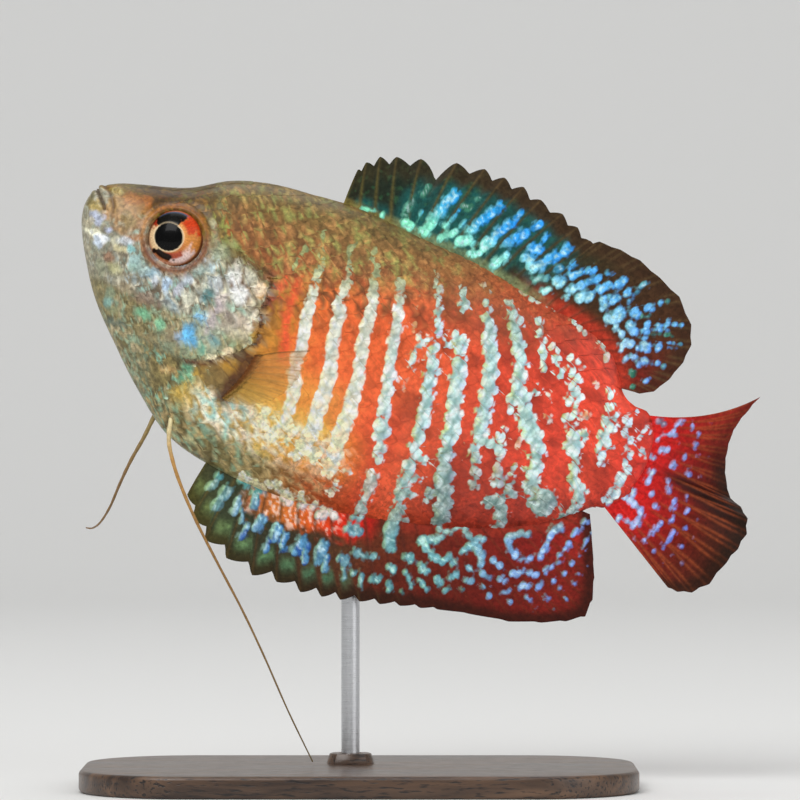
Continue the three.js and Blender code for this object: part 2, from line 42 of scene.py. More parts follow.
# A male dwarf gourami, life size, nose up on a small display stand. The fish is drawn level
# and in millimetres: along from the snout to the tail, out to its right, and up to its back.
# toFrame turns it nose up, lifts it to its place over the stand and makes it metres.
pose = dict(nosePitch=23.5, snoutX=-30, snoutZ=61.2, bendStart=22, bendLength=44, bendSwing=1.6)
millimetre = .001
coatDepth = .14


# Numbers and colours

def smooth(value, low, high):
    # 0 at low, 1 at high, and 3t^2 - 2t^3 between them
    t = np.clip((value - low) / (high - low), 0, 1)
    return t * t * (3 - 2 * t)


def mix(first, second, share):
    # first + (second - first) * share
    return first + (second - first) * share


def bell(value, centre, width):
    # 1 at the centre, falling as exp(-((value - centre) / width)^2)
    return np.exp(-(((value - centre) / width) ** 2))


def shade(code):
    # a screen colour such as c93a2e as linear red, green and blue
    parts = np.array([int(code[k:k + 2], 16) for k in (0, 2, 4)]) / 255
    return np.where(parts <= .04045, parts / 12.92, ((parts + .055) / 1.055) ** 2.4)


def shadesAlong(value, stops):
    # the colour at a value, between stops written as a value, its colour code and a comma
    pairs = [stop.split() for stop in stops.split(", ")]
    marks = [float(mark) for mark, code in pairs]
    tints = np.array([shade(code) for mark, code in pairs])
    return np.stack([np.interp(value, marks, tints[:, k]) for k in range(3)], -1)


def tint(base, colour, mask):
    # base + (colour - base) * mask, for colours
    return base + (colour - base) * np.asarray(mask)[..., None]


def glaze(base, *layers):
    # layers laid over a base colour in turn, each a colour or its code with a mask
    for colour, mask in layers:
        base = tint(base, shade(colour) if isinstance(colour, str) else colour, mask)
    return base


def scatter(first, second, seed):
    # an even spread of numbers from 0 to 1: the fraction of 43758.5 |sin(127.1 a + 311.7 b + 19.2 seed)|
    wave = np.abs(np.sin(first * 127.1 + second * 311.7 + seed * 19.19)) * 43758.5453
    return wave - np.floor(wave)


def grainAt(places, size, seed):
    # value noise: the scattered numbers of the eight corners round a place, blended smoothly
    cells = np.asarray(places) / size
    corner = np.floor(cells)
    part = cells - corner
    part = part * part * (3 - 2 * part)
    total = 0
    for step in range(8):
        offset = np.array([step & 1, (step >> 1) & 1, step >> 2])
        weight = np.prod(np.where(offset == 1, part, 1 - part), -1)
        spot = corner + offset
        total = total + weight * scatter(spot[..., 0] + 57 * spot[..., 2], spot[..., 1], seed)
    return total


def splineAt(points, share):
    # the even Catmull-Rom curve through the points, at a share from 0 to 1 of the way along
    points = np.asarray(points, float)
    spans = len(points) - 1
    place = np.clip(share, 0, 1) * spans
    start = np.clip(np.floor(place).astype(int), 0, spans - 1)
    t = (place - start)[..., None]
    before, here = points[np.maximum(start - 1, 0)], points[start]
    after, beyond = points[start + 1], points[np.minimum(start + 2, spans)]
    leave, arrive = (after - before) / 2, (beyond - here) / 2
    return ((2 * here - 2 * after + leave + arrive) * t ** 3
            + (-3 * here + 3 * after - 2 * leave - arrive) * t ** 2 + leave * t + here)


def evenAlong(points, share):
    # the same curve at a share of its length
    fine = splineAt(points, np.linspace(0, 1, 401))
    length = np.append(0, np.cumsum(np.linalg.norm(np.diff(fine, axis=0), axis=1)))
    return np.stack([np.interp(share * length[-1], length, fine[:, k]) for k in range(2)], -1)


def unit(vectors):
    # the vectors at length 1
    return vectors / np.maximum(np.linalg.norm(vectors, axis=-1, keepdims=True), 1e-9)


def bend(along):
    # the tail's swing to the right: bendSwing times the square of the share behind bendStart
    share = np.maximum(0, along - pose["bendStart"]) / pose["bendLength"]
    return pose["bendSwing"] * share ** 2


def curveAt(first, middle, last, share):
    # the quadratic curve (1 - t)^2 first + 2 t (1 - t) middle + t^2 last, at a share t of the way
    return (1 - share) ** 2 * first + 2 * share * (1 - share) * middle + share ** 2 * last


def circle(count):
    # angles evenly round a circle
    return np.linspace(0, 2 * math.pi, count, endpoint=False)


def toFrame(places):
    # turned about the out axis by the nose pitch, moved to the snout's place, in metres
    pitch = math.radians(pose["nosePitch"])
    along, out, up = places[..., 0], places[..., 1], places[..., 2]
    x = along * math.cos(pitch) + up * math.sin(pitch) + pose["snoutX"]
    z = up * math.cos(pitch) - along * math.sin(pitch) + pose["snoutZ"]
    return np.stack((x, out, z), -1) * millimetre


# Meshes

def gridFaces(rows, columns, wrap=False):
    # quads between neighbouring rows and columns; with wrap the last column meets the first
    i, j = np.meshgrid(np.arange(rows - 1), np.arange(columns - (0 if wrap else 1)), indexing="ij")
    here, beside = i * columns + j, i * columns + (j + 1) % columns
    return np.stack((here, beside, beside + columns, here + columns), -1).reshape(-1, 4)


def outward(places, faces):
    # whether the solid's signed volume, the sum of a . (b x c) over its triangles, is above 0
    corners = places[faces[:, :3]]
    volume = np.einsum("ij,ij->i", corners[:, 0], np.cross(corners[:, 1], corners[:, 2])).sum()
    if faces.shape[1] == 4:
        corners = places[faces[:, [0, 2, 3]]]
        volume += np.einsum("ij,ij->i", corners[:, 0], np.cross(corners[:, 1], corners[:, 2])).sum()
    return volume > 0


def makePiece(name, places, quads, material, slotName, replaced, triangles=None, colours=None,
              values=None, maps=None, sharp=None):
    places = places.reshape(-1, 3)
    rightWay = outward(places, quads)
    order = [quads if rightWay else quads[:, ::-1]]
    if triangles is not None:
        order.append(triangles if rightWay else triangles[:, ::-1])
    faces = [face for block in order for face in block.tolist()]
    mesh = bpy.data.meshes.new(name)
    mesh.from_pydata(places.tolist(), [], faces)
    for key, array in (colours or {}).items():
        layer = mesh.attributes.new(key, "FLOAT_COLOR", "POINT")
        whole = np.ones((len(places), 4))
        whole[:, :3] = np.clip(array.reshape(-1, 3), 0, 1)
        layer.data.foreach_set("color", whole.ravel())
    for key, array in (values or {}).items():
        layer = mesh.attributes.new(key, "FLOAT", "POINT")
        layer.data.foreach_set("value", np.asarray(array, float).ravel())
    corners = np.zeros(len(mesh.loops), np.int32)
    mesh.loops.foreach_get("vertex_index", corners)
    for key, array in (maps or {}).items():
        layer = mesh.uv_layers.new(name=key)
        layer.data.foreach_set("uv", array.reshape(-1, 2)[corners].ravel())
    mesh.shade_smooth()
    if sharp:
        mesh.set_sharp_from_angle(angle=math.radians(sharp))
    piece = bpy.data.objects.new(name, mesh)
    bpy.context.scene.collection.objects.link(piece)
    mesh.materials.append(material)
    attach(piece, "root")
    if replaced:
        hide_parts(*replaced)


def makeTube(name, places, poles, *rest, colours=None, values=None, **more):
    # one closed piece from rings of points, each end ring closed onto its own pole
    rows, around = places.shape[:2]
    k = np.arange(around)
    nextK, last, pole = (k + 1) % around, (rows - 1) * around, np.full(around, rows * around)
    firstEnd = np.stack((nextK, k, pole), -1)
    lastEnd = np.stack((last + k, last + nextK, pole + 1), -1)

    def withPoles(arrays):
        # a pole takes the value of the first point of its ring
        return {key: np.concatenate((array.reshape(rows * around, -1), array[[0, -1], 0].reshape(2, -1)))
                for key, array in (arrays or {}).items()}

    makePiece(name, np.concatenate((places.reshape(-1, 3), poles)), gridFaces(rows, around, wrap=True),
              *rest,
              triangles=np.concatenate((firstEnd, lastEnd)), colours=withPoles(colours),
              values=withPoles(values), **more)


def plateFaces(rows, steps):
    # a closed plate: each row runs down one face and back up the other, with both end rows capped
    around = 2 * steps
    quads = [gridFaces(rows, around, wrap=True)]
    k = np.arange(steps - 1)
    cap = np.stack((k, k + 1, around - 2 - k, around - 1 - k), -1)
    quads += [cap[:, ::-1], cap + (rows - 1) * around]
    return np.concatenate(quads)


def twoFaced(front, back):
    # the two faces of a plate as rows that go down the front and back up the back
    return np.concatenate((front, back[:, ::-1]), axis=1)


# The body. Each rib: back line and belly line (along, up), half thickness, height of the
# thickest place as a share, and roundness above and below it (2 is an ellipse, 1 a wedge).
ribs = np.array([
    [.06, 3.92, .06, 3.92, 0, .5, 2.2, 2.2], [.45, 4.42, -.16, 3.35, 1.05, .5, 2.2, 2.2],
    [1.25, 4.95, -.44, 2.6, 1.65, .52, 2.2, 2.1], [2.5, 5.6, -.42, 1.35, 2.2, .54, 2.2, 2],
    [4.3, 6.25, .1, -.35, 2.9, .56, 2.2, 1.9], [6.7, 7.05, 1.72, -3.14, 3.65, .57, 2.2, 1.8],
    [9.7, 8.35, 4.4, -6.8, 4.4, .57, 2.1, 1.7], [13, 10.55, 8.4, -10.75, 5.1, .55, 1.9, 1.7],
    [17, 12, 13.2, -14.7, 5.6, .52, 1.7, 1.7], [22, 12.8, 18, -17.7, 5.8, .5, 1.6, 1.7],
    [27.5, 13.45, 24.5, -18.9, 5.65, .5, 1.5, 1.6], [34, 13.2, 32, -18.9, 5.1, .5, 1.5, 1.45],
    [41, 13.05, 40, -17.6, 4.35, .5, 1.5, 1.4], [48.5, 12.05, 48.5, -15.05, 3.45, .5, 1.5, 1.4],
    [54.5, 11.45, 55, -12.4, 2.65, .5, 1.5, 1.5], [58.4, 9.9, 59.3, -9.85, 2.1, .5, 1.6, 1.6],
    [61, 6.6, 61.4, -8, 1.75, .5, 1.8, 1.8], [62.8, 5.72, 62.8, -6.4, 1.45, .5, 1.9, 1.9],
    [64.5, 5.5, 64.2, -5.95, 1.15, .5, 1.9, 1.9], [65.9, 3.9, 65.7, -4.2, .95, .5, 1.9, 1.9],
    [66.4, 2, 66.3, -2.2, .75, .5, 1.9, 1.9],
])


def bodyAt(share, angle, grow=0):
    # angle 0 is the back and a quarter turn the right side. With height = cos angle, the place is
    # belly + (back - belly)(wide + reach height), and out = half |sin angle|^(2 / roundness)
    share, angle, grow = np.broadcast_arrays(share, angle, grow)
    rib = splineAt(ribs, share)
    back, belly, half, wide = rib[..., 0:2], rib[..., 2:4], rib[..., 4], rib[..., 5]
    up = unit(back - belly) * grow[..., None]
    back, belly = back + up, belly - up
    height, sideways = np.cos(angle), np.sin(angle)
    reach = np.where(height > 0, 1 - wide, wide)
    roundness = np.where(height > 0, rib[..., 6], rib[..., 7])
    place = belly + (back - belly) * (wide + reach * height)[..., None]
    out = np.sign(sideways) * np.maximum(half + grow, .03) * np.abs(sideways) ** (2 / roundness)
    return np.stack((place[..., 0], bend(place[..., 0]) + out, place[..., 1]), -1)


def bodyHeight(share, angle):
    # how far up its rib a place is: 0 on the belly line and 1 on the back line
    wide = splineAt(ribs, share)[..., 5]
    height = np.cos(angle)
    return wide + np.where(height > 0, 1 - wide, wide) * height


def bodyNormal(share, angle, grow=0):
    # the cross product of the steps along the body and round it
    ahead = bodyAt(share + .002, angle, grow) - bodyAt(share - .002, angle, grow)
    around = bodyAt(share, angle + .01, grow) - bodyAt(share, angle - .01, grow)
    return unit(np.cross(ahead, around))


# The head's relief, drawn on its side view as lines of (along, up)
eye = dict(along=10.19, up=2.31, out=3.15, radius=3.25, depth=2, forward=10)
headLines = dict(
    cover=[(15.6, 2.1), (17.5, 2.7), (19.2, 2.9), (20.6, 2.7), (21.5, 1.8), (21.8, .3), (21.7, -1.2),
           (22.3, -3), (22.4, -4.6), (21.5, -6), (20.1, -7.2), (18.5, -8.4), (16.6, -9.1)],
    cheek=[(14, 1.4), (15.3, -.2), (15.9, -2.3), (16, -4.8), (15.5, -7.6), (14, -9), (12, -9.3)],
    jaw=[(2, 2.1), (3.1, .9), (4.6, -.1), (6.4, -.8), (8.6, -1.5)],
    mouth=[(-.5, 4.6), (.2, 3.8), (1.3, 2.8), (2, 2)],
    lip=[(.8, 4.5), (1.9, 3.8), (2.7, 2.6), (2.8, 1.2)],
    throat=[(12, -9.3), (14.9, -10.5), (17.5, -11.1), (20.2, -11.4)],
)
headRelief = dict(
    coverRise=.26, coverStep=.34, coverWidth=3.2, stepWidth=.7, socketDepth=1.7, orbitRise=.17,
    orbitRadius=3.42, orbitGroove=.1, grooveRadius=4.15, nostrilDepth=.3, nostrilRim=.1,
)
# A fold is its line, its height (a groove is below 0), its distance from the line, its width, and
# the shares of the line between which it grows from nothing; from -1 to 0 it doesn't fade.
headFolds = [
    ("cheek", -.16, 0, .35, 0, .1), ("cheek", .08, .7, .5, -1, 0), ("jaw", -.14, 0, .28, 1, .7),
    ("throat", -.16, 0, .4, 1, .8), ("mouth", -.42, 0, .17, 1, .8), ("mouth", .13, .5, .3, 1, .8),
    ("lip", -.12, 0, .25, -1, 0),
]
nostrils = [(2.2, 4.5, .3), (4.2, 1.9, .36)]


def nearLine(points, along, up):
    # distance to the smooth line through the points, and how far to its left (above 0) the place is
    line = splineAt(points, np.linspace(0, 1, 6 * len(points)))
    start, step = line[:-1], np.diff(line, axis=0)
    toPlace = np.stack((along, up), -1)[..., None, :] - start
    share = np.clip((toPlace * step).sum(-1) / (step ** 2).sum(-1), 0, 1)
    gap = toPlace - share[..., None] * step
    distance = np.linalg.norm(gap, axis=-1)
    nearest = distance.argmin(-1)[..., None]
    crossed = step[:, 0] * gap[..., 1] - step[:, 1] * gap[..., 0]
    pick = lambda array: np.take_along_axis(array, nearest, -1)[..., 0]
    return pick(distance), np.sign(pick(crossed)), (pick(share) + nearest[..., 0]) / len(step)


def reliefAt(along, up):
    # height of the head's folds over the plain body, in millimetres
    size = headRelief
    distance, side, share = nearLine(headLines["cover"], along, up)
    ends = smooth(share, 0, .12) * smooth(share, 1, .86)
    inFront = np.where(side < 0, 1, 0)
    height = inFront * ends * size["coverRise"] * smooth(distance, size["coverWidth"], 0)
    height = height - (1 - inFront) * ends * size["coverStep"] * np.exp(-distance / size["stepWidth"])
    for line, rise, place, width, fadeFrom, fadeTo in headFolds:
        distance, side, share = nearLine(headLines[line], along, up)
        height = height + rise * bell(distance, place, width) * smooth(share, fadeFrom, fadeTo)
    for nostrilAlong, nostrilUp, radius in nostrils:
        distance = np.hypot(along - nostrilAlong, up - nostrilUp) / radius
        height = height - size["nostrilDepth"] * bell(distance, 0, .75)
        height = height + size["nostrilRim"] * bell(distance, 1.35, .35)
    distance = np.hypot(along - eye["along"], up - eye["up"])
    height = height * smooth(distance, 3, 3.9)
    height = height + size["orbitRise"] * bell(distance, size["orbitRadius"], .32)
    height = height - size["orbitGroove"] * bell(distance, size["grooveRadius"], .3)
    return height - size["socketDepth"] * smooth(distance, 3.14, 2.75)


# Markings. A mark is half its width, its strength, and the corners of its centre line as
# along, up, along, up and so on. All were measured on the photo's side view.
flankMarks = [
    (.52, .35, 23.7, 7.3, 23.4, 6, 23, 4.8), (.45, .4, 24.4, 9.2, 24.9, 7.8, 25.5, 6.4),
    (.6, .75, 25.7, 5.8, 25.8, 4, 26.1, 3),
    (.68, 1, 26.2, 2.6, 26.4, 1, 26.6, -.5, 27, -2, 27.3, -3.2, 27.3, -4.2),
    (.6, 1, 27.5, -5.6, 28.3, -6.9, 28.5, -8.3), (.48, .9, 28.6, -8.8, 28.8, -11.2),
    (.55, .6, 28.1, 9.3, 27.9, 8.2), (.45, .8, 28.3, 7.6, 28.8, 6.2),
    (.65, .95, 29.1, 5.2, 29, 3.9, 29, 2.8),
    (.72, 1, 29.5, 2.4, 29.7, 1, 30, -.4, 30.3, -2, 30.8, -3.2, 31.2, -4.6, 31.4, -6.5, 31.6, -8.5, 31.8,
     -11.3),
    (.8, .9, 31.8, -12, 31.9, -12.7), (.45, .55, 30.2, 9.9, 30.4, 8.9), (.55, .7, 31, 8.5, 31.5, 7.2),
    (.65, .85, 31.6, 6.5, 32.1, 5.2),
    (.72, 1, 32.4, 4.6, 32.6, 3, 32.9, 1.2, 33.1, 0, 33.5, -1.2, 33.9, -2.6, 34.2, -4, 34.5, -6, 34.8, -8,
     34.8, -10.2, 35.1, -12.4),
    (.6, .75, 35.2, -13, 35.2, -14.2), (.62, .85, 34.2, 7.9, 34.8, 6.3),
    (.7, 1, 35.1, 5.5, 35.3, 4.4, 35.8, 3.2, 35.9, 2, 36.3, .8, 36.6, -.4, 36.9, -1.6, 37.3, -2.8, 37.7,
     -4.4, 38, -6),
    (.95, .95, 38.5, -7.3, 38.8, -8.3), (.6, .8, 39.3, -9.6, 39.6, -10.8),
    (.7, .7, 39.7, -12.6, 39.9, -14.4), (.7, .8, 40, -15.8, 40, -16.6), (.4, .6, 37.4, 10.2, 37.5, 9.6),
    (.5, .8, 38.1, 9.1, 38.6, 7.9), (.55, .95, 39, 7, 39.5, 5.8),
    (.38, .95, 39.9, 5.2, 39.9, 4.2, 39.6, 3.3), (.42, 1, 38.7, 2.9, 38.7, 1, 39, -.2),
    (.42, .9, 41.8, 5, 41.5, 3.4), (.55, 1, 40.4, 2.9, 40.5, 1.5),
    (.72, 1, 40.8, 1.2, 41.1, 0, 41.3, -1.4, 41.8, -2.6, 42.2, -4.4, 42.5, -6, 42.7, -8),
    (.65, .95, 42.9, -9.3, 43, -10.6, 43.2, -12.2, 43.4, -13.8), (.5, .9, 43.4, -9, 44, -8.9),
    (.45, .9, 43.5, -11.2, 44.3, -11), (.45, .9, 43.8, -13.2, 44.4, -12.9),
    (.75, .9, 43.8, -15.1, 43.8, -16.4, 43.9, -17.6, 44.5, -18.8), (.3, .8, 44.5, -15.8, 45.2, -15.6),
    (.4, .8, 40.5, 10.2, 40.6, 9.6), (.65, .9, 41, 9.1, 41.6, 8), (.65, 1, 42.7, 4.7, 43, 3.6),
    (.85, 1, 43.5, 2.2, 44, .6, 44.4, -1.2, 45, -2.8, 45.6, -4.4, 45.7, -6), (.75, .95, 46, -7, 46.1, -8.2),
    (1, .95, 46.7, -9.2, 47, -10.4, 47.4, -11.2), (.42, .9, 46.3, -11.5, 46, -12.8),
    (.85, .95, 47.9, -12, 48.2, -13.4, 48.3, -14.2), (.3, .6, 42.5, 11.1, 42.7, 10.8),
    (.55, .9, 43.5, 10, 43.9, 9.1), (.7, 1, 44.4, 8.1, 44.9, 7), (.8, 1, 45.3, 6.3, 45.6, 5.4),
    (.82, 1, 46.3, 4.6, 46.8, 3, 47.1, 2, 47.5, .8, 47.7, -.6, 48.1, -2, 48.4, -3.2, 48.5, -4),
    (.5, 1, 48.4, -4.5, 50, -4.4, 51.4, -4.6), (.42, 1, 50.7, -2.6, 50.8, -3.6, 51.2, -4.6),
    (.6, .85, 48.6, -5.4, 49.1, -6.8), (.5, .75, 49.6, -7.6, 50.2, -9.3), (.5, .7, 51.4, -5.2, 52, -7),
    (.65, .8, 52.2, -7.2, 52.4, -8), (.38, .85, 53.4, -5.7, 53.5, -6.3), (.5, .9, 53.9, -7.8, 54.2, -8.6),
    (.6, .95, 53.6, -9.3, 53, -10, 52.2, -10.4), (.7, .95, 53.6, -10.3, 54.3, -11, 54.4, -12.2),
    (.42, .8, 45.5, 10.2, 46, 10.3), (.6, 1, 46.6, 9.6, 46.9, 8.8), (.42, .85, 47.4, 9.6, 47.5, 8.9),
    (.75, 1, 47.6, 8.2, 48.1, 7.2), (.8, 1, 48.8, 6.2, 49.4, 5.2, 49.8, 4.2, 50.1, 3),
    (.7, 1, 50.3, 2.4, 50.4, 1), (.42, .9, 50.3, .6, 50.4, -.2), (.4, .95, 52.2, 3.2, 52.3, 2.8),
    (.5, 1, 51.5, 1.9, 51.5, 1), (.9, 1, 52.2, .2, 52.6, -.8), (1.05, 1, 53.4, -1.2, 53.9, -1.8),
    (.35, .5, 52.7, -2.8, 52.9, -3.6), (.9, .95, 54.6, -2.4, 55, -3.4), (.82, .95, 55.4, -4.4, 55.5, -5.6),
    (.65, .9, 55.8, -6.4, 55.8, -7.2), (1.3, .95, 57.8, -7.6, 57.7, -8.4), (.5, .9, 56.4, -8.2, 56.6, -8.5),
    (.36, .9, 49.2, 10.1, 49.4, 10), (.38, 1, 50, 9.6, 50.3, 8.4), (.45, 1, 50.9, 7.8, 51.3, 6.8),
    (.45, .95, 51.8, 6.2, 52.1, 5.4), (.35, .7, 52.2, 8.3, 51.9, 7.7), (.4, 1, 52.8, 7.5, 53.1, 6.5),
    (.4, .95, 53.8, 6, 54, 5.3), (.35, .9, 54.4, 7.9, 54, 7.3), (.5, 1, 54.9, 7.3, 55.1, 6.4),
    (.28, .9, 55.8, 7.3, 55.9, 7), (.6, 1, 55.8, 5.7, 55.8, 4.4), (.5, 1, 56, 3.9, 56.1, 3),
    (.45, .95, 56.7, 4.4, 56.9, 4), (.5, .95, 57, 2.6, 57.1, 2.1), (.42, .9, 56.5, 1.7, 56.4, 1),
    (.42, 1, 57.5, .9, 57.5, .4), (.95, 1, 58.2, -.6, 58.4, -1.4), (.5, .95, 59.2, -2.4, 59.6, -3.6),
    (.5, .95, 59.8, -4.3, 60, -5), (.65, .95, 60.9, -5.2, 61.2, -6), (.42, .9, 61.2, -6.6, 61.1, -7.6),
    (.42, 1, 59.6, 6.2, 59.8, 5.5), (.35, .95, 60.1, 4.6, 60.2, 4.2), (.3, .9, 60.9, 5, 60.9, 4.9),
    (.38, .95, 61.2, 3.9, 61.3, 3.3), (.4, 1, 60.6, 3.2, 60.6, 2.5), (.32, .9, 61.6, 2.4, 61.7, 2.1),
    (.45, 1, 60.9, 1.6, 60.9, .7), (.35, .95, 61.9, .6, 62, .3), (.38, .95, 61.2, -.3, 61.3, -1),
    (.3, .85, 61.9, -.6, 61.8, -1.6), (.4, 1, 28.6, -11.6, 28.2, -13.2),
    (.42, .95, 31.7, -12.9, 31.2, -14.2), (.34, 1, 26.6, -10.8, 26.2, -12.6),
    (.42, .95, 33.4, -12.4, 33.2, -13.6), (.45, .8, 37.2, -13.2), (.4, .8, 36.6, -15.2, 36.3, -16.2),
    (.36, .95, 30.1, -11.4, 29.8, -12.9), (.3, .6, 57.9, 6.1, 57.9, 5.7), (.25, .5, 58.4, 2.8, 58.4, 2.2),
    (.42, 1, 59, .6, 59, .4), (.35, .6, 54, 3.2, 54, 2.7), (.36, .6, 54.6, .8, 54.6, .5),
    (.42, .6, 46.2, 12.6, 46.6, 12.5), (.45, .8, 47.6, 12.1, 48.3, 12), (.45, .85, 49.8, 12.2, 50.4, 12.4),
    (.33, .7, 51.2, 11.9, 51.9, 12), (.5, .85, 52.9, 12.3, 53, 11.6), (.38, .7, 54, 11, 54.5, 10.6),
    (.55, .75, 56.7, 10.2, 57.1, 10), (.5, .65, 57.7, 9.5, 57.9, 8.9), (.22, .2, 36.7, 7.1, 36.8, 6),
    (.4, .2, 37.5, 4.2, 37.7, 3.7), (.4, .2, 38.8, -1.8, 39, -2.6), (.3, .2, 36.1, 8.9, 36.3, 8.6),
    (.3, .85, 63.2, 5.1, 62.8, 4.3, 62.6, 3.6), (.25, .9, 63.2, 3.3), (.35, .95, 63.1, 2.6, 63.1, 2.1),
    (.26, .85, 64, 2, 64.1, .2), (.25, .75, 65.1, 4.2, 64.7, 2.8), (.3, .85, 65.3, 1.3, 65.8, 1.3),
    (.5, .9, 60.3, -9.4, 60.3, -8.6), (.4, .9, 62.4, -8.2, 62.6, -7.4),
]
stalkMarks = [
    (.36, .9, 64.2, .2, 64.2, -.4), (.48, .95, 64.9, -1.2, 64.5, -2.5, 64.6, -3.7, 64.1, -5),
]
bellyMarks = [
    (.42, .75, 26.9, -18.5, 27.6, -18.8), (.38, .7, 28.6, -18.6, 29.3, -19),
    (.38, .95, 30, -17.9, 30.8, -17.8), (.45, .95, 31.8, -18.3, 32.6, -18.8),
    (.33, .95, 33.5, -17.8, 34, -18.6), (.28, .95, 35.2, -18.2, 35.5, -18),
    (.42, .85, 36.2, -18.8, 36.6, -18.5), (.33, .95, 37.2, -18.2, 37.9, -18.4),
    (.52, .7, 39.8, -18.9, 40.6, -18.8), (.3, .95, 39.7, -17.5, 40.3, -17.3),
    (.5, .85, 43.9, -17.6, 44.5, -18.8),
]
warmBars = [
    (.3, 1, 23.1, 3.4, 22.6, 1.6, 22.2, .2), (.38, 1, 24.1, 3.6, 24.3, 1.4, 24.6, -.6, 25, -2.4),
    (.42, 1, 25.4, -2.8, 25.9, -4.8),
]


def markAt(marks, along, up):
    # millimetres inside the nearest mark's outline, less than 0 outside it; the mark's strength;
    # and the place across it, from -1 at its front edge to 1 at its rear edge
    inside = np.full(np.shape(along), -9)
    strength, across = np.zeros(np.shape(along)), np.zeros(np.shape(along))
    for half, power, *corners in marks:
        line = np.array(corners, float).reshape(-1, 2)
        line = line if len(line) > 1 else np.repeat(line, 2, axis=0)
        for start, step in zip(line[:-1], np.diff(line, axis=0)):
            dx, dz = along - start[0], up - start[1]
            share = np.clip((dx * step[0] + dz * step[1]) / max(step @ step, 1e-9), 0, 1)
            edge = half - np.hypot(dx - share * step[0], dz - share * step[1])
            nearer = edge > inside
            strength = np.where(nearer, power, strength)
            across = np.where(nearer, (dx - share * step[0]) / half, across)
            inside = np.maximum(inside, edge)
    return inside, strength, np.clip(across, -1, 1)


groundStops = ("20 9a642c, 22.5 b87a2c, 24.5 ea8038, 27 fc7c3a, 31 fc743c, 36 f86c3a, 41 e66038, "
               "48 d84a30, 56 de4630, 61 ee4e34, 66 d43428")
warmStops = "22 b88a34, 27 f09c40, 33 f89848, 36 f06838, 40 d8402a"
yellowStops = "22 c8a850, 27 fcd068, 33 fcc658, 36 f48a3a, 40 c03a22"
footStops = "17 6c6038, 24 82784c, 28 8a7a4c, 31 a87440, 35 cc5e2e, 40 b8321e, 50 a02a18"
backStops = "10 6c5a2e, 20 7a6030, 30 7e6234, 38 9a6234, 46 aa502c, 56 b83a28, 62 b83228"
rustStops = "10 a8683a, 20 9c5c30, 30 a05430, 40 ac4426, 50 b43424"
frontBar = "-1 e6d8a0, -0.6 f2f2e2, -0.1 c8c8b4, 0.5 dce0d2, 1 ecdcc8"
rearBar = "-1 a8a04c, -0.72 d4ecb0, -0.42 d8fcfc, 0.05 b0d0c6, 0.5 c0e4e8, 1 d4dcfc"
weakBar = "-1 948444, -0.4 b4b478, 0.2 8c9470, 1 a49c64"
armBase = [(.62, 1, 22.7, -6.3, 22.3, -8.6, 21.7, -11.3)]


def backPaint(along, height, streak, fine):
    # olive over rust, with upright streaks of yellow green, tan and dark brown
    colour = tint(shadesAlong(along, rustStops), shadesAlong(along, backStops), smooth(height, .72, .93))
    front = smooth(along, 46, 34)
    colour = glaze(
        colour,
        ("98a055", smooth(streak, .56, .72) * (.1 + .6 * front)),
        ("c08a54", smooth(fine, .62, .82) * .45 * front),
        ("54401f", smooth(streak, .42, .25) * (.1 + .4 * front)))
    return tint(colour, shade("625630"), smooth(height, .9, .99) * .6 * front)


def bellyPaint(along, up, height, ground, streak, fine):
    # orange runs into yellow, then cream flecks, then olive at the foot with pale green flecks
    front = smooth(along, 38, 34)
    flecks = smooth(up, -10, -11.8) * front * smooth(along, 17, 21)
    foot = smooth(height, .15, .08) * smooth(along, 42, 36)
    ground = glaze(
        ground,
        (shadesAlong(along, warmStops), smooth(up, -3.5, -7.5) * smooth(along, 43, 36)),
        (shadesAlong(along, yellowStops), smooth(up, -8, -11.5) * smooth(along, 40, 36)),
        ("c8b078", flecks * smooth(along, 27, 23) * .7),
        ("fff4dc", flecks * smooth(fine, .4, .62) * .9),
        ("a0d0c8", flecks * smooth(along, 27, 23.5) * smooth(streak, .5, .66) * .9),
        ("b4743c", flecks * smooth(streak, .36, .24) * .25),
        ("e08a3e", smooth(height, .25, .16) * bell(along, 33, 3.6) * .7))
    olive = tint(shadesAlong(along, footStops), shade("4a3a1c"), smooth(streak, .42, .26) * .5 * front)
    olive = glaze(
        olive,
        ("94bc9c", smooth(streak, .56, .7) * smooth(along, 31, 27) * .75),
        ("c4ac78", smooth(fine, .58, .76) * .6 * front))
    return tint(ground, olive, foot)


